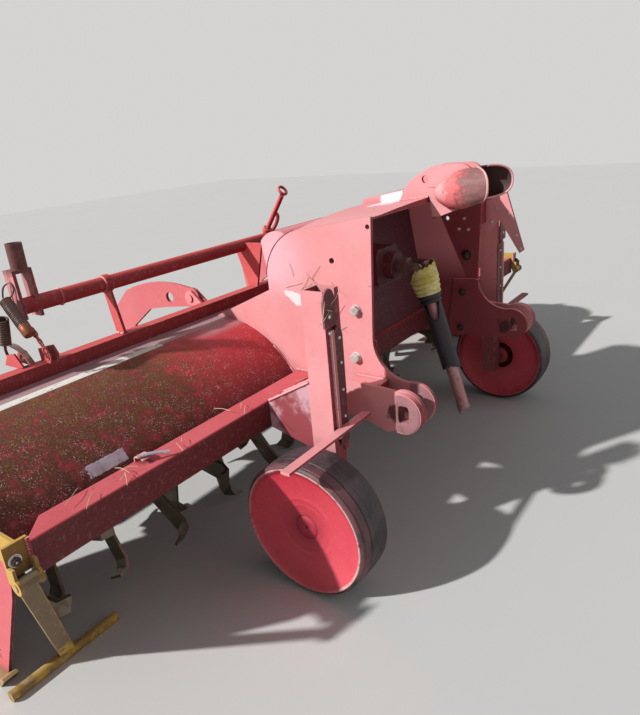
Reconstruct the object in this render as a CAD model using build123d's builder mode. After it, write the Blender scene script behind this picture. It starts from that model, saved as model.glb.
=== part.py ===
from build123d import *

import math
import os

os.makedirs("parts", exist_ok=True)

# A four-row potato ridge former, carried on a tractor's three-point hitch.
# X runs across the machine with +X on its left, Y to the rear and Z up from the ground.
# The origin is on the ground under the middle of the machine.

# Rows and the whole width
row_pitch = 750.0
rows = 4
edge_inset = 55.0
half_width = rows * row_pitch / 2 - edge_inset
sheet = 5.0
seat = 0.3

# Rotor hood, round about an axis of its own, with a flat shelf on top
hood_y = 30.0
hood_z = 290.0
hood_radius = 365.0
shelf_front_y = -10.0
shelf_rear_y = 126.0
hood_tail_y = 395.0
hood_tail_z = 430.0

# Front beam, a square tube
beam_depth = 80.0
beam_height = 85.0
beam_rear_y = -292.0
beam_top_z = 500.0
beam_wall = 8.0
beam_mitre = 82.0
beam_end_gap = 7.0

# Headstock between the two side plates
tower_half = 411.0
tower_plate = 12.0
tower_front_y = -610.0
tower_foot_y = -594.0
tower_top_z = 1003.0
tower_rear_y = -208.0
tower_foot_z = 766.0
tower_bend_z = 646.0
tower_base_z = 400.0
tower_back_z = 841.0
corner_radius = 179.0
corner_low = 16.0
corner_high = 66.0
cover = 6.0
crown_front = 10.0
crown_rear = 27.0
pad_rise = 45.0
pad_length = 330.0
pad_rear_y = -330.0
bulkhead_top_y = -290.0
bulkhead_top_z = 937.0
bulkhead_fold_y = -337.0
bulkhead_fold_z = 660.0
bulkhead_foot_y = -352.0

# Hitch points
hitch_y = -741.0
hitch_z = 463.0
hitch_eye_radius = 62.0
hitch_eye_shift = 8.0
hitch_slot_length = 53.0
hitch_slot_width = 32.0
hitch_gap = 58.0
hitch_plate = 14.0
hitch_ring = 20.0
hitch_box_rear_y = -533.0
hitch_box_depth = 110.0
hitch_box_height = 88.0
cheek_rear_y = -500.0
link_plate_x = 474.0
link_plate_rear_y = -560.0
top_pin_y = -596.0
top_pin_rise = 63.0
top_pin_radius = 12.5
cheek_gap = 60.0
cheek_plate = 12.0
funnel_front_y = -800.0
funnel_rear_y = -640.0
funnel_sheet = 5.0

# Drive
input_y = -551.0
input_z = 770.0
gearbox_front_y = -420.0
gearbox_width = 150.0
gearbox_height = 130.0
neck_radius = 48.0
neck_length = 40.0
stub_radius = 17.5
yoke_radius = 30.0
yoke_reach = 46.0
yoke_half = 34.0
yoke_cheek = 10.0
pin_boss = 20.0
cross_radius = 11.0
pin_play = 0.3
case_half = 52.0
case_top_y = -266.0
case_top_radius = 46.0
case_low_radius = 115.0
shaft_tilt = 17.0
bell_start = 38.0
bell_length = 84.0
bell_radius = 54.0
bell_lip = 52.0
bell_mouth = 24.0
bell_neck = 36.0
bell_wall = 4.0
guard_stop = 370.0
drive_tube_radius = 21.0
drive_stop = 528.0

# Rotor
rotor_y = 30.0
rotor_z = 318.0
rotor_tube_radius = 57.0
flange_radius = 125.0
flange = 12.0
flange_sides = 8
flanges_per_side = 9
rotor_axle_radius = 25.0
blade_reach = 308.0
short_reach = 282.0
blade_width = 62.0
blade = 8.0
blade_bend = 38.0
blade_gap = 14.0
blades_per_flange = 4
blade_stagger = 25.0

# End plates with their skids and bearings
end_plate = 8.0
end_margin = 10.0
end_knee_y = -269.0
end_knee_z = 329.0
skid_front_y = -100.0
skid_rear_y = 345.0
skid_height = 20.0
skid_width = 39.0
skid_inset = 4.0
bearing_radius = 62.0
bearing_depth = 34.0

# Rear beam and the rail above it
rear_beam_y = 78.0
rear_beam_depth = 42.0
rear_beam_height = 42.0
rear_beam_wall = 5.0
rail_y = 134.0
rail_z = 853.0
rail_radius = 23.0
rail_wall = 4.0
rail_half = 1055.0
socket_radius = 22.0
socket_length = 70.0
socket_inset = 38.0
socket_low_z = 955.0
strut_x = 779.0
gusset_x = 150.0
strut = 10.0

# Depth wheels, their posts and sleeves
wheel_y = -576.0
wheel_radius = 205.0
wheel_width = 130.0
wheel_x = row_pitch - 6
rim_radius = 178.0
hub_radius = 38.0
rim_sheet = 8.0
rim_dish = 28.0
inner_hole_radius = 60.0
hub_half = 40.0
tyre_play = 0.3
axle_radius = 16.0
sleeve_x = 619.0
sleeve_width = 72.0
sleeve_front_y = -603.0
sleeve_depth = 72.0
sleeve_low_z = 366.0
sleeve_high_z = 849.0
sleeve_wall = 7.0
post_play = 0.5
post_wall = 8.0
post_low_z = 165.0
post_high_z = 770.0
sleeve_slot = 34.0
scraper_inner = 512.0
scraper_outer = 900.0
scraper_z = 447.0
scraper = 8.0
scraper_depth = 28.0
scraper_play = 6.0
scraper_stud = 20.0

# Ridge hood behind the rotor
pivot_y = 174.0
pivot_z = 708.0
pivot_eye = 34.0
pivot_radius = 14.0
arm_x = 400.0
arm = 12.0
pan_front_y = 428.0
pan_rear_y = 800.0
pan_height = 300.0
pan_front_top = 240.0
pan_rear_top = 170.0
pan_front_foot = 690.0
pan_rear_foot = 640.0
carrier_y = 610.0
carrier_z = 420.0
carrier_size = 80.0
carrier_wall = 6.0

# Parking stands
stand_hinge_y = -396.0
stand_hinge_z = 436.0
stand_foot_y = -172.0
stand_bar_radius = 14.0
stand_bar_inner = 1170.0
stand_bar_outer = 1480.0
stand_strap_out = 6.0
stand_strap_width = 40.0
stand_foot_inset = 158.0
stand_straight = 26.0
stand_plate = 8.0
stand_plate_low = 448.0
stand_plate_high = 522.0
stand_web_rear_y = -285.0
stand_ear = 6.0
stand_pin_radius = 8.0
stand_strap = 10.0

sides = {"right": -1, "left": 1}
parts = {}


def keep(name, part):
    """Label one finished piece and write it."""
    part.label = name
    parts[name] = part
    export_step(part, f"parts/{name}.step")


def side_plane(side, inner, outer):
    """The plane in Y and Z where a slab between two distances from the middle begins."""
    return Plane.YZ.offset(min(side * inner, side * outer))


def radial_plane(x, y, z, angle=0.0):
    """A plane through a cross axis, its own X along the axis and its own Y outward at the angle."""
    turn = math.radians(angle)
    return Plane(origin=(x, y, z), x_dir=(1, 0, 0), z_dir=(0, -math.cos(turn), -math.sin(turn)))


def hood_line(grow=0.0):
    """Draw the hood's section, grown outward by a distance."""
    front = math.degrees(math.asin((beam_rear_y - hood_y) / hood_radius))
    crease = math.degrees(math.asin((shelf_front_y - hood_y) / hood_radius))
    arc = CenterArc((hood_y, hood_z), hood_radius + grow, 90 - front, front - crease)
    shelf = Line(arc @ 1, (shelf_rear_y, (arc @ 1).Y))
    back = TangentArc(shelf @ 1, (hood_tail_y + grow, hood_tail_z), tangent=(1, 0))
    return arc, shelf, back


def cover_top(y):
    """Height just above the headstock's top sheet."""
    slope = (cover_rear_z - tower_top_z) / (cover_rear_y - tower_front_y - 4)
    return tower_top_z - cover + slope * (y - tower_front_y - 4) + 0.51 * cover + seat


def crown_top(y):
    """Height just above the crowned middle of the headstock's top sheet."""
    share = (y - tower_front_y - 4) / (cover_rear_y - tower_front_y - 4)
    return cover_top(y) + crown_front + share * (crown_rear - crown_front)


def corner_point(angle, off=0.0):
    """A point off the headstock's round rear corner, at an angle up from its rear."""
    turn = math.radians(angle)
    reach = corner_radius + off
    return corner_y + reach * math.cos(turn), corner_z + reach * math.sin(turn)


def bulkhead_face(z):
    """How far to the rear the bulkhead's front face lies at a height above its fold."""
    lean = (bulkhead_top_y - bulkhead_fold_y) / (bulkhead_top_z - bulkhead_fold_z)
    return bulkhead_fold_y + lean * (z - bulkhead_fold_z) - cover / 2 * math.hypot(1, lean) - seat


def hood_top(y):
    """Height of the hood's outer face in front of its shelf."""
    return hood_z + math.sqrt(hood_radius**2 - (y - hood_y) ** 2)


def case_outline(grow=0.0):
    """The chain case's hull round its two sprocket axes, grown by a distance."""
    with Locations((case_top_y, input_z)):
        Circle(case_top_radius + grow)
    with Locations((rotor_y, rotor_z)):
        Circle(case_low_radius + grow)
    make_hull()


shelf_angle = math.asin((shelf_front_y - hood_y) / hood_radius)
shelf_z = hood_z + hood_radius * math.cos(shelf_angle)
corner_y = tower_rear_y - corner_radius * math.cos(math.radians(corner_low))
corner_z = tower_back_z - corner_radius * math.sin(math.radians(corner_low))
cover_rear_y, cover_rear_z = corner_point(corner_high)
hitch_eye_y = hitch_y + hitch_eye_shift
top_pin_z = tower_top_z + top_pin_rise
beam_front_y = beam_rear_y - beam_depth
beam_low_z = beam_top_z - beam_height
hood_end = half_width - end_plate
tower_inside = tower_half - tower_plate

# Rotor hood in three lengths, the middle one cut for the chain case
hood_lengths = {
    "right": (-hood_end, -tower_half),
    "middle": (-tower_half, tower_half),
    "left": (tower_half, hood_end),
}
for name, (start, stop) in hood_lengths.items():
    with BuildPart() as hood:
        with BuildSketch(Plane.YZ.offset(start)):
            with BuildLine():
                hood_line(-sheet / 2)
            trace(line_width=sheet)
        extrude(amount=stop - start)
        if name == "middle":
            with BuildSketch(Plane.YZ.offset(-case_half - seat)):
                case_outline(seat)
            extrude(amount=2 * (case_half + seat), mode=Mode.SUBTRACT)
    keep(f"hood_{name}", hood.part)

# Front beam: a length each side with its outer end mitred, and one between the tower plates
for side_name, side in sides.items():
    beam_end = hood_end - beam_end_gap
    with BuildPart() as beam:
        with BuildSketch(side_plane(side, tower_half, beam_end)):
            with Locations((beam_rear_y - beam_depth / 2, beam_top_z - beam_height / 2)):
                RectangleRounded(beam_depth, beam_height, beam_wall)
        extrude(amount=beam_end - tower_half)
        with BuildSketch(side_plane(side, tower_half, beam_end - beam_mitre - beam_wall)):
            with Locations((beam_rear_y - beam_depth / 2, beam_top_z - beam_height / 2)):
                Rectangle(beam_depth - 2 * beam_wall, beam_height - 2 * beam_wall)
        extrude(amount=beam_end - beam_mitre - beam_wall - tower_half, mode=Mode.SUBTRACT)
        with BuildSketch(Plane.XY.offset(beam_low_z)):
            with BuildLine():
                Polyline(
                    (side * beam_end, beam_front_y),
                    (side * (beam_end - beam_mitre), beam_rear_y),
                    (side * beam_end, beam_rear_y),
                    close=True,
                )
            make_face()
        extrude(amount=beam_height, mode=Mode.SUBTRACT)
    keep(f"front_beam_{side_name}", beam.part)

with BuildPart() as beam_middle:
    with BuildSketch(Plane.YZ.offset(-tower_inside)):
        with Locations((beam_rear_y - beam_depth / 2, beam_top_z - beam_height / 2)):
            RectangleRounded(beam_depth, beam_height, beam_wall)
            Rectangle(beam_depth - 2 * beam_wall, beam_height - 2 * beam_wall, mode=Mode.SUBTRACT)
    extrude(amount=2 * tower_inside)
keep("front_beam_middle", beam_middle.part)

# Headstock side plates, with the lower hitch eye on the nose
hood_start_z = hood_top(beam_rear_y)
for side_name, side in sides.items():
    with BuildPart() as plate:
        with BuildSketch(side_plane(side, tower_half - tower_plate, tower_half)):
            with BuildLine():
                front = Line((tower_front_y, tower_top_z), (tower_foot_y, tower_bend_z))
                nose_top = (hitch_eye_y + 20, hitch_z + math.sqrt(hitch_eye_radius**2 - 20**2))
                nose = TangentArc(front @ 1, nose_top, tangent=front % 1)
                eye = ThreePointArc(
                    nose @ 1,
                    (hitch_eye_y - hitch_eye_radius, hitch_z),
                    (hitch_eye_y, hitch_z - hitch_eye_radius),
                )
                Polyline(
                    eye @ 1,
                    (hitch_eye_y + 55, hitch_z - hitch_eye_radius),
                    (hitch_eye_y + 122, tower_base_z),
                    (beam_rear_y, tower_base_z),
                    (beam_rear_y, hood_start_z),
                    (shelf_front_y, hood_start_z + 20),
                    (hood_y + 22, shelf_z + seat),
                    (tower_rear_y, tower_foot_z),
                    (tower_rear_y, tower_back_z),
                )
                back = CenterArc((corner_y, corner_z), corner_radius, corner_low, corner_high - corner_low)
                Line(back @ 1, front @ 0)
            make_face()
            with BuildLine():
                arc, shelf, tail = hood_line(seat)
                Polyline(tail @ 1, (hood_y, hood_z), arc @ 0)
            make_face(mode=Mode.SUBTRACT)
            with Locations((hitch_y, hitch_z)):
                Rectangle(hitch_slot_width, hitch_slot_length, mode=Mode.SUBTRACT)
            for place, radius in (((-467, 874), 9), ((tower_front_y + 12, tower_top_z - 27), 7)):
                with Locations(place):
                    Circle(radius, mode=Mode.SUBTRACT)
        extrude(amount=tower_plate)
    keep(f"tower_plate_{side_name}", plate.part)

# Sheet over the top and down the back of the headstock
with BuildPart() as top_cover:
    with BuildSketch(Plane.YZ.offset(-tower_inside)):
        with BuildLine():
            top = Line((tower_front_y + 4, tower_top_z - cover), corner_point(corner_high, -cover / 2))
            sweep_angle = corner_low - corner_high
            bend = CenterArc((corner_y, corner_z), corner_radius - cover / 2, corner_high, sweep_angle)
            Line(bend @ 1, ((bend @ 1).X, hood_top(tower_rear_y) + seat))
        trace(line_width=cover)
    extrude(amount=2 * tower_inside)
    for place, rise in ((tower_front_y + 4, crown_front), (cover_rear_y, crown_rear)):
        base = cover_top(place) - seat - cover / 2
        with BuildSketch(Plane.XZ.offset(-place)):
            with BuildLine():
                bow = ThreePointArc((-tower_inside, base), (0, base + cover / 2 + rise), (tower_inside, base))
                Line(bow @ 1, bow @ 0)
            make_face()
    loft()
    with BuildSketch(Plane.YZ):
        with BuildLine():
            pad_front_y = cheek_rear_y + 10
            Polyline(
                (pad_front_y, cover_top(pad_front_y) - 1),
                (pad_front_y, cover_top(pad_front_y) + pad_rise),
                (pad_rear_y, cover_top(pad_rear_y) + pad_rise),
                (pad_rear_y, cover_top(pad_rear_y) - 1),
                close=True,
            )
        make_face()
    extrude(amount=pad_length)
    with BuildSketch(Plane.YZ.offset(-case_half - seat)):
        case_outline(seat)
    extrude(amount=2 * (case_half + seat), mode=Mode.SUBTRACT)
keep("tower_cover", top_cover.part)

# Rolled edge over the headstock's rear corner, a crescent from side to side
with BuildPart() as cap:
    with BuildSketch(Plane.YZ.offset(-tower_half)):
        with BuildLine():
            crest = ThreePointArc(corner_point(62, seat), corner_point(50, 35), corner_point(36, 48))
            lip = ThreePointArc(crest @ 1, corner_point(28, 25), corner_point(18, seat))
            ThreePointArc(lip @ 1, corner_point(40, seat), crest @ 0)
        make_face()
    extrude(amount=2 * tower_half)
keep("tower_cap", cap.part)

# Bulkhead inside the headstock, from the cover down to the front beam
with BuildPart() as wall:
    with BuildSketch(Plane.YZ.offset(-tower_inside)):
        with BuildLine():
            Polyline(
                (bulkhead_top_y, bulkhead_top_z),
                (bulkhead_fold_y, bulkhead_fold_z),
                (bulkhead_foot_y, beam_top_z + 60),
                (bulkhead_foot_y, beam_top_z + seat),
            )
        trace(line_width=cover)
    extrude(amount=2 * tower_inside)
keep("tower_bulkhead", wall.part)

# Outer lower hitch plates on a short box, a thick eye ring round each slot
for side_name, side in sides.items():
    outer_x = tower_half + hitch_gap
    with BuildPart() as lug:
        with BuildSketch(side_plane(side, outer_x, outer_x + hitch_plate)):
            with BuildLine():
                top = Line((hitch_box_rear_y, hitch_z + 69), (hitch_eye_y + 29, hitch_z + 57))
                eye = ThreePointArc(
                    top @ 1,
                    (hitch_eye_y - hitch_eye_radius, hitch_z),
                    (hitch_eye_y + 17, hitch_z - hitch_eye_radius + 3),
                )
                Polyline(
                    eye @ 1,
                    (hitch_eye_y + 59, hitch_z - hitch_eye_radius - 16),
                    (hitch_eye_y + 147, hitch_z - 47),
                    (hitch_box_rear_y, hitch_z - 47),
                    top @ 0,
                )
            make_face()
        extrude(amount=hitch_plate)
        with BuildSketch(side_plane(side, outer_x + hitch_plate, outer_x + hitch_plate + hitch_ring)):
            with Locations((hitch_eye_y, hitch_z)):
                Circle(hitch_eye_radius)
            with Locations((hitch_eye_y + 17 + hitch_eye_radius, hitch_z)):
                Rectangle(2 * hitch_eye_radius, 3 * hitch_eye_radius, mode=Mode.SUBTRACT)
        extrude(amount=hitch_ring)
        with BuildSketch(side_plane(side, outer_x, outer_x + hitch_plate + hitch_ring)):
            with Locations((hitch_y, hitch_z)):
                Rectangle(hitch_slot_width, hitch_slot_length)
        extrude(amount=hitch_plate + hitch_ring, mode=Mode.SUBTRACT)
        with BuildSketch(side_plane(side, tower_half, outer_x)):
            with Locations((hitch_box_rear_y - hitch_box_depth / 2, hitch_z + 15)):
                Rectangle(hitch_box_depth, hitch_box_height)
                Rectangle(hitch_box_depth - 16, hitch_box_height - 16, mode=Mode.SUBTRACT)
        extrude(amount=hitch_gap)
    keep(f"hitch_lug_{side_name}", lug.part)

# Top link cheeks on the headstock and the catching funnels pressed onto them
with BuildPart() as cheeks:
    for side in sides.values():
        with BuildSketch(side_plane(side, cheek_gap / 2, cheek_gap / 2 + cheek_plate)):
            with BuildLine():
                back = Line((cheek_rear_y, crown_top(cheek_rear_y)), (cheek_rear_y - 28, top_pin_z - 17))
                crest = (top_pin_y - 36, top_pin_z + 42)
                lobe = ThreePointArc(back @ 1, (top_pin_y + 6, top_pin_z + 25), crest)
                ridge = Line(lobe @ 1, (top_pin_y - 112, crest[1]))
                chin = (top_pin_y - 166, top_pin_z - 16)
                front = ThreePointArc(ridge @ 1, (top_pin_y - 156, top_pin_z + 24), chin)
                Polyline(
                    front @ 1,
                    (top_pin_y - 144, top_pin_z - 81),
                    (tower_front_y - 10, tower_top_z - 63),
                    (tower_front_y, crown_top(tower_front_y)),
                    back @ 0,
                )
            make_face()
            with Locations((top_pin_y, top_pin_z)):
                Circle(top_pin_radius, mode=Mode.SUBTRACT)
        extrude(amount=cheek_plate)
keep("top_link_cheeks", cheeks.part)

# Half-cone catching funnels that open to the front, one on the outside of each cheek
with BuildPart() as funnels:
    for side in sides.values():
        wall_x = side * (cheek_gap / 2 + cheek_plate)
        for shrink, mode in ((0, Mode.ADD), (funnel_sheet, Mode.SUBTRACT)):
            for place, half_height, reach, middle in (
                (funnel_front_y, 56, 88, top_pin_z - 22),
                (funnel_rear_y, 24, 28, top_pin_z - 38),
            ):
                high = half_height - shrink
                out = side * (reach - shrink)
                quarter = [(0, high), (0.5 * out, high), (0.86 * out, 0.74 * high), (out, 0.35 * high)]
                rim = quarter + [(x, -z) for x, z in reversed(quarter)]
                with BuildSketch(Plane.XZ.offset(-place)):
                    with BuildLine():
                        Polyline(*[(wall_x + x, middle + z) for x, z in rim], close=True)
                    make_face()
            loft(ruled=True, mode=mode)
keep("top_link_funnels", funnels.part)

# Three-cornered plate for a hydraulic coupling bracket, on a stub from the left side plate
with BuildPart() as link_plate:
    with BuildSketch(Plane.YZ.offset(link_plate_x)):
        with BuildLine():
            Polyline(
                (tower_front_y - 55, tower_top_z + 1),
                (tower_front_y - 139, tower_top_z - 261),
                (tower_front_y - 123, tower_top_z - 273),
                (tower_front_y - 42, tower_top_z - 145),
                (tower_front_y - 10, tower_top_z - 190),
                (link_plate_rear_y, tower_top_z - 190),
                (link_plate_rear_y, tower_top_z - 18),
                close=True,
            )
        make_face()
    extrude(amount=tower_plate)
    with BuildSketch(Plane.YZ.offset(tower_half)):
        with Locations((link_plate_rear_y - 20, tower_top_z - 110)):
            Rectangle(36, 90)
    extrude(amount=link_plate_x - tower_half)
keep("link_plate", link_plate.part)

# Gearbox on the bulkhead with its input neck, and the chain case down to the rotor
with BuildPart() as gearbox:
    with BuildSketch(Plane.XZ.offset(-gearbox_front_y)):
        with Locations((0, input_z)):
            RectangleRounded(gearbox_width, gearbox_height, 24)
    extrude(amount=gearbox_front_y - bulkhead_top_y)
    gearbox_low = input_z - gearbox_height / 2
    gearbox_high = input_z + gearbox_height / 2
    with BuildSketch(Plane.YZ.offset(-gearbox_width / 2)):
        with BuildLine():
            Polyline(
                (bulkhead_face(gearbox_low), gearbox_low),
                (bulkhead_face(gearbox_high), gearbox_high),
                (bulkhead_top_y + cover, gearbox_high),
                (bulkhead_top_y + cover, gearbox_low),
                close=True,
            )
        make_face()
    extrude(amount=gearbox_width, mode=Mode.SUBTRACT)
    with BuildSketch(Plane.XZ.offset(-gearbox_front_y)):
        with Locations((0, input_z)):
            Circle(neck_radius)
    extrude(amount=neck_length)
keep("gearbox", gearbox.part)

with BuildPart() as stub:
    with BuildSketch(Plane.XZ.offset(-(gearbox_front_y - neck_length))):
        with Locations((0, input_z)):
            Circle(stub_radius)
    extrude(amount=gearbox_front_y - neck_length - input_y - yoke_reach)
    with BuildSketch(Plane.XZ.offset(-(input_y + yoke_reach))):
        with Locations((0, input_z)):
            Circle(yoke_radius)
    extrude(amount=-22)
    for side in sides.values():
        with BuildSketch(Plane.YZ.offset(side * yoke_half - yoke_cheek / 2)):
            with Locations((input_y + yoke_reach / 2, input_z)):
                Rectangle(yoke_reach, 2 * pin_boss)
            with Locations((input_y, input_z)):
                Circle(pin_boss)
                Circle(cross_radius + pin_play, mode=Mode.SUBTRACT)
        extrude(amount=yoke_cheek)
keep("input_yoke", stub.part)

with BuildPart() as case:
    with BuildSketch(Plane.YZ.offset(-case_half)):
        case_outline()
        with Locations((rotor_y, rotor_z)):
            Circle(rotor_axle_radius + pin_play, mode=Mode.SUBTRACT)
    extrude(amount=2 * case_half)
keep("chain_case", case.part)

# Rotor: one shaft with its tubes and welded flanges, and bent blades bolted to the flanges
tube_start = case_half + 6
tube_stop = hood_end - 10
blade_span = flange / 2 + blade + blade_bend + blade_gap
first_flange = case_half + blade_span
flange_pitch = (hood_end - blade_span - first_flange) / (flanges_per_side - 1)
rotor_axis = Axis((0, rotor_y, rotor_z), (1, 0, 0))
with BuildPart() as shaft:
    with BuildSketch(radial_plane(0, rotor_y, rotor_z)):
        with BuildLine():
            Polyline(
                (0, 0),
                (half_width + bearing_depth - 8, 0),
                (half_width + bearing_depth - 8, rotor_axle_radius),
                (tube_stop, rotor_axle_radius),
                (tube_stop, rotor_tube_radius),
                (tube_start, rotor_tube_radius),
                (tube_start, rotor_axle_radius),
                (0, rotor_axle_radius),
                close=True,
            )
        make_face()
        mirror(about=Plane.YZ)
    revolve(axis=rotor_axis)
    for number in range(flanges_per_side):
        for side in sides.values():
            with BuildSketch(Plane.YZ.offset(side * (first_flange + number * flange_pitch))):
                with Locations((rotor_y, rotor_z)):
                    RegularPolygon(flange_radius, flange_sides)
            extrude(amount=flange / 2, both=True)
keep("rotor_shaft", shaft.part)

for side_name, side in sides.items():
    with BuildPart() as blades:
        for number in range(flanges_per_side):
            flange_x = side * (first_flange + number * flange_pitch)
            nearest_row = (abs(flange_x) / row_pitch - 0.5) % 1
            over_ridge = min(nearest_row, 1 - nearest_row) < 0.2
            reach = short_reach if over_ridge else blade_reach
            for turn in range(blades_per_flange):
                bend = 1 if turn % 2 else -1
                angle = 360 / blades_per_flange * turn + blade_stagger * number
                root_x = bend * flange / 2
                knife = [
                    (0, rotor_tube_radius + 12),
                    (0, reach - blade_bend + 4),
                    (blade + 2, reach - 0.8 * blade),
                    (blade + blade_bend, reach),
                    (blade + blade_bend, reach - blade),
                    (blade + 10, reach - 2 * blade),
                    (blade, reach - blade_bend),
                    (blade, rotor_tube_radius + 12),
                ]
                with BuildSketch(radial_plane(flange_x, rotor_y, rotor_z, angle)):
                    with BuildLine():
                        Polyline(*[(root_x + bend * out, up) for out, up in knife], close=True)
                    make_face()
                extrude(amount=blade_width / 2, both=True)
    keep(f"rotor_blades_{side_name}", blades.part)

# End plates that close the hood, with their skids and the rotor bearings
for side_name, side in sides.items():
    with BuildPart() as end:
        with BuildSketch(side_plane(side, hood_end, half_width)):
            with BuildLine():
                arc, shelf, tail = hood_line(end_margin)
                Polyline(
                    tail @ 1,
                    (hood_tail_y, rotor_z),
                    (skid_rear_y, skid_height),
                    (skid_front_y, skid_height),
                    (end_knee_y, end_knee_z),
                    (beam_rear_y - end_margin, beam_low_z),
                    arc @ 0,
                )
            make_face()
            with Locations((rotor_y, rotor_z)):
                Circle(rotor_axle_radius + 3, mode=Mode.SUBTRACT)
        extrude(amount=end_plate)
    keep(f"end_plate_{side_name}", end.part)

with BuildPart() as skids:
    for side in sides.values():
        skid_start = hood_end - skid_inset
        with BuildSketch(side_plane(side, skid_start, skid_start + skid_width)):
            with BuildLine():
                nose = Line((skid_front_y - 34, skid_height + 12), (skid_front_y - 26, skid_height + 16))
                Polyline(
                    nose @ 1,
                    (skid_front_y, skid_height),
                    (skid_rear_y, skid_height),
                    (skid_rear_y, 0),
                    (skid_front_y - 6, 0),
                    nose @ 0,
                )
            make_face()
        extrude(amount=skid_width)
keep("end_skids", skids.part)

with BuildPart() as bearings:
    for side in sides.values():
        with BuildSketch(Plane.YZ.offset(side * half_width)):
            with Locations((rotor_y, rotor_z)):
                Circle(bearing_radius)
                Circle(rotor_axle_radius + pin_play, mode=Mode.SUBTRACT)
        extrude(amount=side * bearing_depth)
    for outer_face in (bearings.faces().sort_by(Axis.X)[0], bearings.faces().sort_by(Axis.X)[-1]):
        chamfer(outer_face.outer_wire().edges(), length=10)
keep("rotor_bearings", bearings.part)

# Rear beam on the hood's shelf
rear_beam_top = shelf_z + seat + rear_beam_height
with BuildPart() as rear_beam:
    with BuildSketch(Plane.YZ.offset(-hood_end + seat)):
        with Locations((rear_beam_y + rear_beam_depth / 2, shelf_z + seat + rear_beam_height / 2)):
            Rectangle(rear_beam_depth, rear_beam_height)
            Rectangle(
                rear_beam_depth - 2 * rear_beam_wall,
                rear_beam_height - 2 * rear_beam_wall,
                mode=Mode.SUBTRACT,
            )
    extrude(amount=2 * (hood_end - seat))
keep("rear_beam", rear_beam.part)

# Rail on its gussets and struts, with a lamp socket on two plates at its right end
with BuildPart() as rail:
    with BuildSketch(Plane.YZ.offset(-rail_half)):
        with Locations((rail_y, rail_z)):
            Circle(rail_radius)
            Circle(rail_radius - rail_wall, mode=Mode.SUBTRACT)
    extrude(amount=2 * rail_half)
keep("rear_rail", rail.part)

with BuildPart() as brackets:
    for side in sides.values():
        with BuildSketch(side_plane(side, gusset_x - strut / 2, gusset_x + strut / 2)):
            with BuildLine():
                Polyline(
                    (rail_y - 102, rail_z + 11),
                    (rail_y + 38, rail_z + 9),
                    (rail_y + 38, rail_z - 8),
                    (rear_beam_y + rear_beam_depth, rear_beam_top),
                    (rear_beam_y, rear_beam_top),
                    close=True,
                )
            make_face()
            with Locations((rail_y, rail_z)):
                Circle(rail_radius + seat, mode=Mode.SUBTRACT)
        extrude(amount=strut)
        with BuildSketch(side_plane(side, strut_x - strut / 2, strut_x + strut / 2)):
            with BuildLine():
                Polyline(
                    (rail_y - 16, rail_z - 4),
                    (rail_y + 16, rail_z - 4),
                    (rear_beam_y + rear_beam_depth, rear_beam_top),
                    (rear_beam_y + 4, rear_beam_top),
                    close=True,
                )
            make_face()
            with Locations((rail_y, rail_z)):
                Circle(rail_radius + seat, mode=Mode.SUBTRACT)
        extrude(amount=strut)
        with BuildSketch(side_plane(side, strut_x - 11, strut_x + 11)):
            with Locations((rail_y, rail_z)):
                Circle(rail_radius + 5)
                Circle(rail_radius + seat, mode=Mode.SUBTRACT)
        extrude(amount=22)
keep("rail_brackets", brackets.part)

with BuildPart() as rail_ends:
    side = sides["right"]
    socket_x = rail_half - socket_inset
    for inner, width in ((rail_half, strut), (socket_x - strut, strut)):
        with BuildSketch(side_plane(side, inner, inner + width)):
            with BuildLine():
                Polyline(
                    (rail_y - 22, rail_z - 34),
                    (rail_y + 26, rail_z - 34),
                    (rail_y + 34, socket_low_z),
                    (rail_y - 12, socket_low_z),
                    close=True,
                )
            make_face()
            if inner < rail_half:
                with Locations((rail_y, rail_z)):
                    Circle(rail_radius + seat, mode=Mode.SUBTRACT)
        extrude(amount=width)
    with BuildSketch(side_plane(side, socket_x - strut, rail_half + strut)):
        with Locations((rail_y + 11, socket_low_z - strut / 2)):
            Rectangle(46, strut)
    extrude(amount=socket_inset + 2 * strut)
    with BuildSketch(Plane.XY.offset(socket_low_z)):
        with Locations((side * (socket_x + socket_radius - strut), rail_y + 10)):
            Circle(socket_radius)
            Circle(socket_radius - rail_wall, mode=Mode.SUBTRACT)
    extrude(amount=socket_length)
keep("rail_ends", rail_ends.part)

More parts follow.
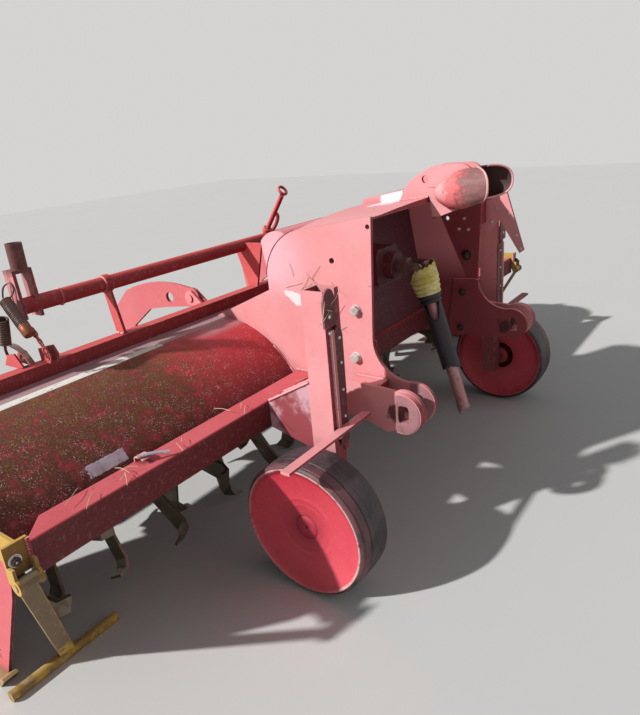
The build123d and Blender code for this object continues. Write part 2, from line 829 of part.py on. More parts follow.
# Sleeves on the front beam, the posts that slide in them, and the depth wheels
inner_width = sleeve_width - 2 * sleeve_wall
inner_depth = sleeve_depth - 2 * sleeve_wall
sleeve_mid_y = sleeve_front_y + sleeve_depth / 2
sleeve_rear_y = sleeve_front_y + sleeve_depth
post_width = inner_width - 2 * post_play
post_depth = inner_depth - 2 * post_play
for side_name, side in sides.items():
    with BuildPart() as sleeve:
        with BuildSketch(Plane.XY.offset(sleeve_low_z)):
            with Locations((side * sleeve_x, sleeve_mid_y)):
                Rectangle(sleeve_width, sleeve_depth)
                Rectangle(inner_width, inner_depth, mode=Mode.SUBTRACT)
            with Locations((side * sleeve_x, sleeve_front_y)):
                Rectangle(sleeve_slot, 3 * sleeve_wall, mode=Mode.SUBTRACT)
        extrude(amount=sleeve_high_z - sleeve_low_z)
        for cheek_x in (sleeve_x - sleeve_width / 2, sleeve_x + sleeve_width / 2 - strut):
            with BuildSketch(side_plane(side, cheek_x, cheek_x + strut)):
                with BuildLine():
                    Polyline(
                        (sleeve_rear_y, sleeve_low_z + 10),
                        (beam_front_y, beam_low_z),
                        (beam_front_y, beam_top_z),
                        (sleeve_rear_y, beam_top_z + 90),
                        close=True,
                    )
                make_face()
            extrude(amount=strut)
    keep(f"wheel_sleeve_{side_name}", sleeve.part)

    with BuildPart() as post:
        with BuildSketch(Plane.XY.offset(post_low_z)):
            with Locations((side * sleeve_x, sleeve_mid_y)):
                Rectangle(post_width, post_depth)
                Rectangle(post_width - 2 * post_wall, post_depth - 2 * post_wall, mode=Mode.SUBTRACT)
        extrude(amount=post_high_z - post_low_z)
        with BuildSketch(Plane.XY.offset(post_low_z)):
            with Locations((side * sleeve_x, sleeve_mid_y)):
                Rectangle(post_width, post_depth)
        extrude(amount=2 * hub_radius)
        axle_start = sleeve_x - post_width / 2
        with BuildSketch(side_plane(side, axle_start, wheel_x + hub_half)):
            with Locations((wheel_y, wheel_radius)):
                Circle(axle_radius)
        extrude(amount=wheel_x + hub_half - axle_start)
        bar_front_y = sleeve_front_y - scraper_play - scraper_depth
        stud_length = sleeve_mid_y - post_depth / 2 + post_wall / 2 - bar_front_y
        with BuildSketch(Plane.XY.offset(scraper_z)):
            with Locations((side * (scraper_inner + scraper_outer) / 2, bar_front_y + scraper_depth / 2)):
                Rectangle(scraper_outer - scraper_inner, scraper_depth)
            with Locations((side * sleeve_x, bar_front_y + stud_length / 2)):
                Rectangle(scraper_stud, stud_length)
        extrude(amount=scraper)
    keep(f"wheel_post_{side_name}", post.part)

    wheel_axis = Axis((0, wheel_y, wheel_radius), (1, 0, 0))
    face_x = side * (wheel_x + wheel_width / 2)
    with BuildPart() as rim:
        with BuildSketch(radial_plane(face_x, wheel_y, wheel_radius)):
            with BuildLine():
                Polyline(
                    (-side * 3, rim_radius),
                    (-side * 14, rim_radius - 14),
                    (-side * rim_dish, hub_radius + 2),
                    (-side * (rim_dish - 10), hub_radius),
                    (-side * (rim_dish - 10), 0),
                    (-side * (rim_dish - 6), 0),
                    (-side * (rim_dish - 6), axle_radius + pin_play),
                    (-side * (wheel_width / 2 + hub_half), axle_radius + pin_play),
                    (-side * (wheel_width / 2 + hub_half), hub_radius),
                    (-side * (rim_dish + rim_sheet), hub_radius),
                    (-side * (14 + rim_sheet), rim_radius - 18),
                    (-side * (14 + rim_sheet), rim_radius - rim_sheet),
                    (-side * (wheel_width - 24), rim_radius - rim_sheet),
                    (-side * (wheel_width - 32), inner_hole_radius),
                    (-side * (wheel_width - 24), inner_hole_radius),
                    (-side * (wheel_width - 15), rim_radius - rim_sheet),
                    (-side * (wheel_width - 4), rim_radius - rim_sheet),
                    (-side * (wheel_width - 4), rim_radius),
                    close=True,
                )
            make_face()
        revolve(axis=wheel_axis)
    keep(f"wheel_rim_{side_name}", rim.part)

    with BuildPart() as tyre:
        with BuildSketch(radial_plane(side * wheel_x, wheel_y, wheel_radius)):
            with BuildLine():
                Polyline(
                    (-wheel_width / 2, rim_radius + tyre_play),
                    (-wheel_width / 2, wheel_radius - 15),
                    (-wheel_width / 2 + 17, wheel_radius - 5),
                    (0, wheel_radius),
                    (wheel_width / 2 - 17, wheel_radius - 5),
                    (wheel_width / 2, wheel_radius - 15),
                    (wheel_width / 2, rim_radius + tyre_play),
                    close=True,
                )
            make_face()
        revolve(axis=wheel_axis)
    keep(f"wheel_tyre_{side_name}", tyre.part)

# Ridge hood: two arms on the frame's pivots, a cross tube, and a pan over each ridge
ear_gap = 1.0
with BuildPart() as pivots:
    for side in sides.values():
        for ear_x in (arm_x - arm / 2 - ear_gap - strut, arm_x + arm / 2 + ear_gap):
            with BuildSketch(side_plane(side, ear_x, ear_x + strut)):
                with BuildLine():
                    ear = Line((rear_beam_y + rear_beam_depth, rear_beam_top), (pivot_y - 8, pivot_z + 26))
                    nose = ThreePointArc(ear @ 1, (pivot_y + 27, pivot_z), (pivot_y - 4, pivot_z - 27))
                    Polyline(nose @ 1, (rear_beam_y + rear_beam_depth, rear_beam_top - 24), ear @ 0)
                make_face()
            extrude(amount=strut)
        pin_half = arm / 2 + ear_gap + strut
        with BuildSketch(side_plane(side, arm_x - pin_half - 6, arm_x + pin_half + 6)):
            with Locations((pivot_y, pivot_z)):
                Circle(pivot_radius)
        extrude(amount=2 * pin_half + 12)
keep("hood_pivots", pivots.part)

carrier_top = carrier_z + carrier_size / 2
for side_name, side in sides.items():
    with BuildPart() as arm_part:
        with BuildSketch(side_plane(side, arm_x - arm / 2, arm_x + arm / 2)):
            with BuildLine():
                eye = ThreePointArc(
                    (pivot_y + 4, pivot_z - pivot_eye),
                    (pivot_y - pivot_eye, pivot_z),
                    (pivot_y + 8, pivot_z + pivot_eye),
                )
                knee = (carrier_y - 50, pivot_z - 2)
                back = ThreePointArc(eye @ 1, (pivot_y + 196, pivot_z + 44), knee)
                Polyline(
                    back @ 1,
                    (carrier_y + 62, carrier_z + 190),
                    (carrier_y + carrier_size / 2, carrier_top),
                    (carrier_y - carrier_size / 2, carrier_top),
                    (carrier_y - 65, carrier_z + 140),
                    (carrier_y - 180, carrier_z + 220),
                    (pivot_y + 166, pivot_z - 52),
                    eye @ 0,
                )
            make_face()
            with Locations((pivot_y, pivot_z)):
                Circle(pivot_radius + pin_play, mode=Mode.SUBTRACT)
            with Locations((pivot_y + 127, pivot_z - 10)):
                Circle(20, mode=Mode.SUBTRACT)
        extrude(amount=arm)
    keep(f"hood_arm_{side_name}", arm_part.part)

pan_centres = [row_pitch * (number - (rows - 1) / 2) for number in range(rows)]
pan_names = ["far_right", "right", "left", "far_left"]
carrier_half = rows * row_pitch / 2 - row_pitch / 2 + 120
with BuildPart() as tube:
    with BuildSketch(Plane.YZ.offset(-carrier_half)):
        with Locations((carrier_y, carrier_z)):
            Rectangle(carrier_size, carrier_size)
            Rectangle(carrier_size - 2 * carrier_wall, carrier_size - 2 * carrier_wall, mode=Mode.SUBTRACT)
    extrude(amount=2 * carrier_half)
    for centre in pan_centres:
        for offset in (-50, 50):
            with BuildSketch(Plane.YZ.offset(centre + offset - strut / 2)):
                with Locations((carrier_y, (pan_height + seat + carrier_z - carrier_size / 2) / 2)):
                    Rectangle(carrier_size + 60, carrier_z - carrier_size / 2 - pan_height - seat)
            extrude(amount=strut)
keep("hood_carrier", tube.part)


def pan_section(place, top_width, foot_width, centre):
    """One pan's sheet cut across the row at a place along the machine."""
    half_pitch = row_pitch / 2 - seat / 2
    slope = (foot_width - top_width) / 2 / (pan_height - sheet)
    across = sheet * math.hypot(1, slope)
    inner_foot = foot_width / 2 + slope * sheet - across
    inner_top = inner_foot - slope * (pan_height - sheet)
    half = [
        (half_pitch, 0),
        (half_pitch, sheet),
        (foot_width / 2, sheet),
        (top_width / 2, pan_height),
    ]
    inside = [(inner_top, pan_height - sheet), (inner_foot, 0)]
    outline = half + [(-x, z) for x, z in reversed(half)]
    outline += [(-x, z) for x, z in reversed(inside)] + inside
    with BuildSketch(Plane.XZ.offset(-place)) as section:
        with BuildLine():
            Polyline(*[(centre + x, z) for x, z in outline], close=True)
        make_face()
    return section.sketch


for name, centre in zip(pan_names, pan_centres):
    front_section = pan_section(pan_front_y, pan_front_top, pan_front_foot, centre)
    rear_section = pan_section(pan_rear_y, pan_rear_top, pan_rear_foot, centre)
    with BuildPart() as pan:
        loft(sections=[front_section, rear_section])
        if abs(centre) > row_pitch:
            outward = math.copysign(1, centre)
            with BuildSketch(Plane.XY):
                with Locations((outward * (hood_end + row_pitch / 2), (pan_front_y + pan_rear_y) / 2)):
                    Rectangle(row_pitch, pan_rear_y - pan_front_y + 20)
            extrude(amount=pan_height, mode=Mode.SUBTRACT)
    keep(f"ridge_pan_{name}", pan.part)

# Parking stands: a bracket on the beam's end, and a slanting strap with a foot bar that swings up
stand_strap_x = half_width + stand_strap_out
stand_foot_x = stand_bar_outer - stand_foot_inset
strap_half = stand_strap_width / 2
ear_half = strap_half + 1
clamp_half = ear_half + stand_ear
stand_front_y = beam_front_y - stand_plate
with BuildPart() as stand_clamps:
    for side in sides.values():
        with BuildSketch(side_plane(side, stand_strap_x - clamp_half, stand_strap_x + clamp_half)):
            with Locations((beam_front_y - stand_plate / 2, (stand_plate_low + stand_plate_high) / 2)):
                Rectangle(stand_plate, stand_plate_high - stand_plate_low)
        extrude(amount=2 * clamp_half)
        with BuildSketch(side_plane(side, half_width, half_width + stand_plate)):
            with Locations(((stand_web_rear_y + beam_front_y) / 2, (stand_plate_low + stand_plate_high) / 2)):
                Rectangle(stand_web_rear_y - beam_front_y, stand_plate_high - stand_plate_low)
        extrude(amount=stand_plate)
        for ear_x in (stand_strap_x - clamp_half, stand_strap_x + ear_half):
            with BuildSketch(side_plane(side, ear_x, ear_x + stand_ear)):
                with Locations((stand_front_y - 6, stand_plate_low + 10)):
                    Rectangle(28, 40)
                with Locations((stand_hinge_y, stand_hinge_z)):
                    Circle(18)
                    Circle(stand_pin_radius + pin_play, mode=Mode.SUBTRACT)
            extrude(amount=stand_ear)
keep("stand_brackets", stand_clamps.part)

stand_length = math.hypot(stand_foot_y - stand_hinge_y, stand_bar_radius - stand_hinge_z)
stand_rear = (stand_foot_y - stand_hinge_y) / stand_length
stand_down = (stand_hinge_z - stand_bar_radius) / stand_length
strap_plane = Plane(
    origin=(0, stand_hinge_y, stand_hinge_z),
    x_dir=(1, 0, 0),
    z_dir=(0, stand_down, stand_rear),
)
for side_name, side in sides.items():
    with BuildPart() as stand:
        with BuildSketch(strap_plane):
            with BuildLine():
                Polyline(
                    (side * (stand_strap_x + strap_half), 0),
                    (side * (stand_strap_x + strap_half), stand_straight),
                    (side * (stand_foot_x + strap_half), stand_length),
                    (side * (stand_foot_x - strap_half), stand_length),
                    (side * (stand_strap_x - strap_half), stand_straight),
                    (side * (stand_strap_x - strap_half), 0),
                    close=True,
                )
            make_face()
        extrude(amount=stand_strap / 2, both=True)
        with BuildSketch(side_plane(side, stand_strap_x - strap_half, stand_strap_x + strap_half)):
            with Locations((stand_hinge_y, stand_hinge_z)):
                Circle(15)
        extrude(amount=stand_strap_width)
        with BuildSketch(side_plane(side, stand_strap_x - clamp_half - 2, stand_strap_x + clamp_half + 2)):
            with Locations((stand_hinge_y, stand_hinge_z)):
                Circle(stand_pin_radius)
        extrude(amount=2 * clamp_half + 4)
        with BuildSketch(side_plane(side, stand_bar_inner, stand_bar_outer)):
            with Locations((stand_foot_y, stand_bar_radius)):
                Circle(stand_bar_radius)
        extrude(amount=stand_bar_outer - stand_bar_inner)
    keep(f"stand_{side_name}", stand.part)

# Drive shaft hanging from the input yoke
tilt = math.radians(shaft_tilt)
hang = Plane(
    origin=(0, input_y, input_z),
    x_dir=(1, 0, 0),
    z_dir=(0, -math.sin(tilt), -math.cos(tilt)),
)
with BuildPart() as joint:
    with BuildSketch(Plane.YZ.offset(-yoke_half - yoke_cheek / 2 - 3)):
        with Locations((input_y, input_z)):
            Circle(cross_radius)
    extrude(amount=2 * yoke_half + yoke_cheek + 6)
    with BuildSketch(hang):
        Rectangle(2 * cross_radius, 2 * yoke_half - yoke_cheek - 4)
    extrude(amount=cross_radius, both=True)
    with BuildSketch(hang.offset(-pin_boss + 4)):
        for edge in (-1, 1):
            with Locations((0, edge * (yoke_half - yoke_cheek - 2))):
                Rectangle(2 * cross_radius + 8, yoke_cheek)
    extrude(amount=yoke_reach + pin_boss)
    with BuildSketch(hang.offset(yoke_reach)):
        Circle(bell_neck - bell_wall - 3)
    extrude(amount=18)
    with BuildSketch(hang.offset(yoke_reach + 18)):
        Circle(drive_tube_radius)
        Circle(drive_tube_radius - 5, mode=Mode.SUBTRACT)
    extrude(amount=drive_stop - yoke_reach - 18)
keep("drive_shaft", joint.part)

bell_section = Plane(origin=hang.origin, x_dir=hang.x_dir, z_dir=hang.y_dir)
bell_stop = bell_start + bell_length
with BuildPart() as bell:
    with BuildSketch(bell_section):
        with BuildLine():
            Polyline(
                (bell_radius, -bell_start),
                (bell_neck, -bell_stop),
                (bell_neck - bell_wall, -bell_stop),
                (bell_radius - bell_wall, -bell_start),
                close=True,
            )
        make_face()
    revolve(axis=Axis(hang.origin, hang.z_dir))
    with BuildSketch(hang.offset(bell_start - bell_lip)):
        Circle(bell_radius)
        Circle(bell_radius - bell_wall, mode=Mode.SUBTRACT)
        with Locations((0, bell_mouth - bell_radius)):
            Rectangle(3 * bell_radius, 2 * bell_radius, mode=Mode.SUBTRACT)
    extrude(amount=bell_lip)
keep("shaft_bell", bell.part)

with BuildPart() as guard:
    with BuildSketch(hang.offset(bell_stop - 12)):
        Circle(bell_neck - bell_wall - seat)
        Circle(drive_tube_radius + pin_play, mode=Mode.SUBTRACT)
    extrude(amount=guard_stop - bell_stop + 12)
keep("shaft_guard", guard.part)

low = min(part.bounding_box().min.Y for part in parts.values())
high = max(part.bounding_box().max.Y for part in parts.values())
print(f"{len(parts)} pieces, {high - low:.0f} long, middle at {(high + low) / 2:.1f}")
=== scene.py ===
import math

import bmesh
import bpy
import numpy as np
from mathutils import Matrix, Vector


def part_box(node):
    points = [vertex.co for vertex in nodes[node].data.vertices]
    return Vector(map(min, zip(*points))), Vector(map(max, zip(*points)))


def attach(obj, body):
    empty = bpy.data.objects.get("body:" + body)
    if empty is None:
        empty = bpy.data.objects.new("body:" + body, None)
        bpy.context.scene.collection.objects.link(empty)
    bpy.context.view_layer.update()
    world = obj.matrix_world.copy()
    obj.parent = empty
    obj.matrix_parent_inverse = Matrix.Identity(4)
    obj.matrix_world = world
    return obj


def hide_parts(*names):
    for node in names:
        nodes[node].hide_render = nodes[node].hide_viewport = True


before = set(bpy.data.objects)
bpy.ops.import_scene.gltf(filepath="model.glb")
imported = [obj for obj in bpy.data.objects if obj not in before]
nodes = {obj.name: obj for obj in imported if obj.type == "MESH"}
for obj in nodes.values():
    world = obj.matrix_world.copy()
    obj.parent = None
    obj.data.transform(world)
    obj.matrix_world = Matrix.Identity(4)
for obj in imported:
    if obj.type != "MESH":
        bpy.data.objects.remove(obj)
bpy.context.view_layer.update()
print("frame loaded:", len(nodes), "solids")


# Colours are given as they look on a screen, 0 to 255, and turned into the linear values that shaders take
def tint(red, green, blue):
    c = np.array([red, green, blue]) / 255
    linear = np.where(c <= 0.04045, c / 12.92, ((c + 0.055) / 1.055) ** 2.4)
    return (*linear.tolist(), 1.0)


# Node helpers: all of them add to the tree that useTree was last given
def useTree(chosen):
    global tree
    tree = chosen
    tree.nodes.clear()


# One node, with its options set and its sockets linked or filled
def put(kind, feeds=None, **options):
    node = tree.nodes.new("ShaderNode" + kind)
    for name, value in options.items():
        setattr(node, name, value)
    for name, value in (feeds or {}).items():
        if isinstance(value, bpy.types.NodeSocket):
            tree.links.new(value, node.inputs[name])
        else:
            node.inputs[name].default_value = value
    return node


def noise(where, scale, detail=4.0, roughness=0.55, distortion=0.0):
    feeds = {
        "Vector": where, "Scale": scale, "Detail": detail, "Roughness": roughness, "Distortion": distortion
    }
    return put("TexNoise", feeds).outputs["Fac"]


def stretch(where, scale):  # the same place with its axes stretched, for streaks and brushed marks
    return put("Mapping", {"Vector": where, "Scale": scale}).outputs["Vector"]


def step(value, low, high):  # smooth rise from 0 at low to 1 at high, or a fall if high is the lower
    feeds = {"Value": value, "From Min": low, "From Max": high}
    return put("MapRange", feeds, interpolation_type="SMOOTHSTEP").outputs["Result"]


def calc(operation, first, second=0.0, third=0.0):
    return put("Math", {0: first, 1: second, 2: third}, operation=operation).outputs["Value"]


def times(*masks):
    product = masks[0]
    for mask in masks[1:]:
        product = calc("MULTIPLY", product, mask)
    return product


def plus(first, second):
    return calc("ADD", first, second)


def minus(first, second):
    return calc("SUBTRACT", first, second)


def band(value, low, high, soft):  # 1 between low and high, with soft edges
    return times(step(value, low - soft, low + soft), step(value, high + soft, high - soft))


def over(mask, below, above):  # a mask between two colours, where three numbers are a colour as on a screen
    pair = [tint(*tone) if isinstance(tone, tuple) and len(tone) == 3 else tone for tone in (below, above)]
    return put("Mix", {0: mask, 6: pair[0], 7: pair[1]}, data_type="RGBA").outputs[2]


def coat(below, tone, *masks):  # a tone laid on the colour below, as strong as its masks multiplied
    return over(times(*masks), below, tone)


def axesOf(vector):
    return put("SeparateXYZ", {0: vector}).outputs


def lookOf():  # the way a face looks
    return put("NewGeometry").outputs["Normal"]


def facing(direction):  # how far a face looks towards a direction, 0 to 1
    turned = put("VectorMath", {0: lookOf(), 1: direction}, operation="DOT_PRODUCT").outputs["Value"]
    return calc("MAXIMUM", turned, 0.0)


# Ambient occlusion: the finishes use it to paint shade, with their dirt, into corners
def crevice(reach):  # 1 deep in a corner, 0 in the open
    openness = put("AmbientOcclusion", {"Distance": reach}, samples=4).outputs["AO"]
    return minus(1.0, openness)


def sharpEdge(radius):  # 1 on an outer or inner edge, 0 on a flat
    rounded = put("Bevel", {"Radius": radius}, samples=4).outputs["Normal"]
    alike = put("VectorMath", {0: rounded, 1: lookOf()}, operation="DOT_PRODUCT").outputs["Value"]
    return step(minus(1.0, alike), 0.01, 0.12)


def newFinish(name):
    material = bpy.data.materials.new(name)
    material.use_nodes = True
    useTree(material.node_tree)
    return material, put("TexCoord").outputs["Object"]


def closeFinish(material, colour, roughness, height, metal=0.0, strength=0.4, depth=0.002):
    bump = put("Bump", {"Strength": strength, "Distance": depth, "Height": height})
    feeds = {"Base Color": colour, "Roughness": roughness, "Normal": bump.outputs["Normal"]}
    surface = put("BsdfPrincipled", feeds)
    if isinstance(metal, bpy.types.NodeSocket):
        tree.links.new(metal, surface.inputs["Metallic"])
    else:
        surface.inputs["Metallic"].default_value = metal
    put("OutputMaterial", {"Surface": surface.outputs["BSDF"]})
    return material


# Faces turned to this direction are painted paler and faces turned away deeper: sun fading and painted light
# and shade together
sunDirection = (-0.70, 0.26, 0.66)  # where the sun that bleached the paint stood
wheelMiddle = {"X": 0.744, "Y": -0.576, "Z": 0.205}

# Old red paint: deep where it faces away from the sun and bleached to salmon where it faces the sun, sun fading
# and painted light and shade in one, with dust, streaks and chips
oldPaint = {
    "deep": (142, 42, 52),
    "faded": (226, 126, 130),
    "chalk": (246, 178, 178),
    "sun": (0.02, 0.52),
    "bleachAndLight": 0.85,
    "stain": (140, 70, 70),
    "grimeAndShade": (48, 28, 28),
    "rust": (96, 52, 40),
    "dust": (206, 164, 158),
    "edge": (240, 178, 178),
    "speck": (232, 214, 200),
    "chips": 0.30,
    "specks": 0.30,
    "rough": 0.50,
    "dusty": 0.38,
}


# Colour from deep to faded to chalky by light = facing the old sun + (noise - 0.5) * 0.35, which is sun fading
# and painted light and shade together, then stains, dust, grime and painted shade in corners, worn edges that
# are also painted highlights, chips where noise + 0.16 * field passes 0.74, and specks; height = dents - chips
def paintLayers(where, look):
    # Sun fading and painted light and shade: the colour follows how far a face turns to the sun
    sun = facing(sunDirection)
    patchy = noise(where, 1.6, 4.0, 0.5)
    cloudy = noise(where, 9.0, 6.0, 0.6)
    fine = noise(where, 260.0, 3.0, 0.6)
    light = plus(sun, times(minus(patchy, 0.5), 0.35))
    colour = over(step(light, *look["sun"]), look["deep"], look["faded"])
    chalky = times(step(light, 0.40, 0.86), look["bleachAndLight"])
    chalky = times(chalky, plus(0.72, times(step(cloudy, 0.30, 0.70), 0.28)))
    colour = over(chalky, colour, look["chalk"])
    streak = noise(stretch(where, (30.0, 30.0, 2.0)), 1.0, 5.0, 0.6)
    colour = coat(colour, look["stain"], step(streak, 0.60, 0.80), 0.14)
    dusty = step(noise(where, 70.0, 6.0, 0.75), 0.52, 0.74)
    colour = coat(colour, look["dust"], dusty, look["dusty"])
    scuff = step(noise(stretch(where, (90.0, 14.0, 90.0)), 1.0, 3.0, 0.6, 0.5), 0.70, 0.74)
    colour = coat(colour, look["stain"], scuff, 0.5)
    blotch = step(noise(where, 19.0, 7.0, 0.78), 0.60, 0.70)
    colour = coat(colour, look["stain"], blotch, 0.16)
    # Grime and painted shade: corners darkened by occlusion, in cloudy patches
    corner = times(step(crevice(0.06), 0.22, 0.90), step(cloudy, 0.25, 0.60))
    colour = coat(colour, look["grimeAndShade"], corner, 0.78)
    # Worn edges painted pale, which are partly wear and partly painted highlights of the rounded edges
    edge = times(sharpEdge(0.0035), step(noise(where, 34.0, 5.0, 0.7), 0.42, 0.58))
    colour = coat(colour, look["edge"], edge, 0.50)
    chipNoise = noise(where, 70.0, 6.0, 0.74, 0.4)
    chipField = times(step(noise(where, 7.0, 3.0, 0.6), 0.50, 0.66), look["chips"])
    chip = step(plus(chipNoise, times(chipField, 0.16)), 0.735, 0.752)
    colour = over(chip, colour, over(step(fine, 0.4, 0.6), look["rust"], look["grimeAndShade"]))
    cells = put("TexVoronoi", {"Vector": where, "Scale": 150.0, "Randomness": 1.0})
    spot = times(
        step(cells.outputs["Distance"], 0.17, 0.10),
        step(noise(where, 60.0, 2.0), 0.56, 0.62),
        look["specks"],
    )
    colour = over(spot, colour, look["speck"])
    roughness = plus(look["rough"], times(cloudy, 0.28))
    dents = noise(where, 5.0, 2.0, 0.4)
    height = plus(times(dents, 1.2), times(fine, 0.10))
    height = minus(height, times(chip, 0.35))
    return colour, roughness, height


# Headstock paint: crimson inside, where the sun never bleached it, which is also painted shade, with a painted
# patch of sunlight on the inner wall; a painted lilac highlight on the rounded rear corner, with whitish
# weathered blots on the side and on the cover; and a painted shadow on the hitch lug's nose.
# Each patch is given by its place: Y and Z on the side plates, X and Y on the cover
towerLook = {
    "inside": (136, 30, 46),
    "lit": (250, 156, 162),
    "litFrom": (-0.437, 0.887, 0.45),
    "lilac": (240, 200, 212),
    "corner": (-0.235, 0.868, 0.17),
    "white": (248, 236, 236),
    "sideBlot": (-0.320, 0.746, 0.046, 0.018, 0.30),
    "grease": (-0.704, 0.452, 0.034),
    "topPatch": ((-0.105, 0.120), (-0.500, -0.405)),
    "patina": (176, 104, 60),
    "patinaPatch": ((0.150, 0.325), (-0.500, -0.350)),
    "nose": (-0.588, 0.485),
    "noseShadowTone": (146, 30, 48),
    "gusset": (-0.528, 0.6535, 0.60),
    "greaseTone": (52, 26, 26),
    "gussetTones": ((136, 28, 42), (214, 168, 178)),
}


def patch(first, second, spans, soft, ragged):  # a rectangle of two coordinates with torn edges
    moved = [plus(value, times(ragged, 0.03)) for value in (first, second)]
    return times(*(band(value, *span, soft) for value, span in zip(moved, spans)))


def towerFinish():
    material, where = newFinish("towerPaint")
    colour, roughness, height = paintLayers(where, oldPaint)
    axes = axesOf(where)
    across = calc("ABSOLUTE", axes["X"])
    upward = axesOf(lookOf())["Z"]
    ragged = minus(noise(where, 28.0, 6.0, 0.7), 0.5)
    cloudy = noise(where, 6.0, 5.0, 0.6)
    # Inner faces below the cover: crimson, unbleached paint and painted shade together, with a painted patch of
    # sunlight behind a slanted border from Z 0.60 up
    inside = times(step(across, 0.405, 0.403), step(axes["Z"], 0.952, 0.944), step(upward, 0.5, 0.3))
    edgeY, edgeZ, slope = towerLook["litFrom"]
    border = minus(axes["Y"], calc("MULTIPLY_ADD", axes["Z"], slope, edgeY - slope * edgeZ))
    lit = times(step(border, -0.004, 0.004), step(axes["Z"], 0.60, 0.78))
    inner = over(lit, towerLook["inside"], towerLook["lit"])
    colour = coat(colour, inner, inside, 0.88)
    # Painted highlight: a lilac wash on the outer faces round the rounded rear corner
    cornerY, cornerZ, reach = towerLook["corner"]
    centre = put("CombineXYZ", {"X": axes["X"], "Y": cornerY, "Z": cornerZ}).outputs["Vector"]
    away = put("VectorMath", {0: where, 1: centre}, operation="DISTANCE").outputs["Value"]
    pale = times(step(calc("MULTIPLY_ADD", ragged, 0.10, away), reach, 0.03), 0.62)
    outside = step(across, 0.403, 0.406)
    colour = coat(colour, towerLook["lilac"], pale, outside)
    blotY, blotZ, long, high, slant = towerLook["sideBlot"]
    along = minus(axes["Y"], blotY)
    rise = minus(minus(axes["Z"], blotZ), times(along, slant))
    shares = [calc("DIVIDE", value, size) for value, size in ((along, long), (rise, high))]
    spread = plus(*(calc("POWER", share, 2.0) for share in shares))
    side = times(step(calc("MULTIPLY_ADD", ragged, 5.0, spread), 1.15, 0.95), outside)
    greaseY, greaseZ, greaseReach = towerLook["grease"]
    spot = put("CombineXYZ", {"X": axes["X"], "Y": greaseY, "Z": greaseZ}).outputs["Vector"]
    near = put("VectorMath", {0: where, 1: spot}, operation="DISTANCE").outputs["Value"]
    greasy = step(calc("MULTIPLY_ADD", ragged, 0.06, near), greaseReach, greaseReach - 0.012)
    colour = coat(colour, towerLook["greaseTone"], greasy, 0.85)
    aboveTop = times(step(axes["Z"], 0.950, 0.954), step(across, 0.400, 0.395))
    top = times(patch(axes["X"], axes["Y"], towerLook["topPatch"], 0.004, ragged), aboveTop)
    white = times(calc("MAXIMUM", side, top), step(cloudy, 0.26, 0.34))
    colour = coat(colour, towerLook["white"], white, 0.9)
    brown = times(patch(axes["X"], axes["Y"], towerLook["patinaPatch"], 0.02, ragged), aboveTop)
    colour = coat(colour, towerLook["patina"], brown, 0.62)
    # Painted shadow: the hitch lug's side face ahead of Y -0.588 is painted crimson where the sleeve's shadow
    # falls
    noseY, noseX = towerLook["nose"]
    nose = times(band(across, noseX, noseX + 0.003, 0.001), step(axes["Y"], noseY + 0.001, noseY - 0.001))
    colour = coat(colour, towerLook["noseShadowTone"], nose, step(upward, 0.5, 0.3), 0.86)
    gussetY, gussetX, gussetZ = towerLook["gusset"]
    gusset = times(step(across, gussetX, gussetX + 0.001), step(axes["Y"], gussetY, gussetY + 0.003))
    gusset = times(gusset, step(axes["Z"], gussetZ, gussetZ - 0.01), step(axes["Y"], -0.30, -0.34))
    mottled = over(step(cloudy, 0.44, 0.56), *towerLook["gussetTones"])
    colour = coat(colour, mottled, gusset, 0.85)
    return closeFinish(material, colour, roughness, height, strength=0.35, depth=0.003)


# Stand paint: dusty beige with yellow left on the edges and on the foot bar
standLook = {
    **oldPaint,
    "deep": (112, 92, 62),
    "faded": (178, 160, 124),
    "chalk": (198, 182, 146),
    "stain": (96, 70, 40),
    "gold": ((150, 112, 36), (196, 156, 62)),
    "chips": 0.8,
    "dusty": 0.5,
}


def standFinish():
    material, where = newFinish("standPaint")
    colour, roughness, height = paintLayers(where, standLook)
    axes = axesOf(where)
    worn = step(noise(where, 40.0, 6.0, 0.7), 0.34, 0.52)
    yellow = calc("MAXIMUM", sharpEdge(0.006), step(axes["Z"], 0.085, 0.070))
    gold = over(step(noise(where, 18.0), 0.4, 0.6), *standLook["gold"])
    colour = coat(colour, gold, yellow, worn, 0.9)
    return closeFinish(material, colour, roughness, height, strength=0.3, depth=0.002)


# Rail end paint: brown and dirty above the rail
endLook = {
    **oldPaint,
    "deep": (120, 34, 40),
    "faded": (192, 76, 80),
    "brown": ((58, 38, 34), (98, 62, 54)),
    "chips": 0.9,
}


def endFinish():
    material, where = newFinish("endPaint")
    colour, roughness, height = paintLayers(where, endLook)
    high = axesOf(where)["Z"]
    ragged = noise(where, 30.0, 6.0, 0.7)
    dirty = step(calc("MULTIPLY_ADD", ragged, 0.08, high), 0.965, 1.000)
    brown = over(step(ragged, 0.4, 0.6), *endLook["brown"])
    colour = coat(colour, brown, dirty, 0.85)
    return closeFinish(material, colour, roughness, height, strength=0.4, depth=0.003)


# A plain paint: the old paint with what a table changes in it
def paintFinish(name, **changes):
    look = {**oldPaint, **changes}
    material, where = newFinish(name)
    colour, roughness, height = paintLayers(where, look)
    return closeFinish(material, colour, roughness, height, strength=0.35, depth=0.003)


# Hood paint: deep red under yellow and brown lichen, with a chalky lilac shelf and one broken white stripe
hoodLook = {
    **oldPaint,
    "deep": (110, 18, 28),
    "faded": (194, 48, 58),
    "chalk": (214, 90, 94),
    "bleachAndLight": 0.45,
    "specks": 0.9,
    "chips": 0.7,
    "rough": 0.42,
    "dusty": 0.22,
    "moors": ((104, 62, 44), (92, 44, 56)),
    "pits": (44, 24, 22),
    "seam": (150, 134, 70),
    "stripeY": (-0.0185, 0.0140),
    "stripeX": (-1.33, -0.722),
    "creaseY": -0.010,
    "shelfEnd": 0.100,
    "lichen": (150, 116, 54),
    "moss": (76, 48, 34),
    "crust": (206, 190, 176),
    "shelf": (196, 166, 172),
    "lilac": (176, 128, 138),
    "stripe": (246, 242, 234),
}


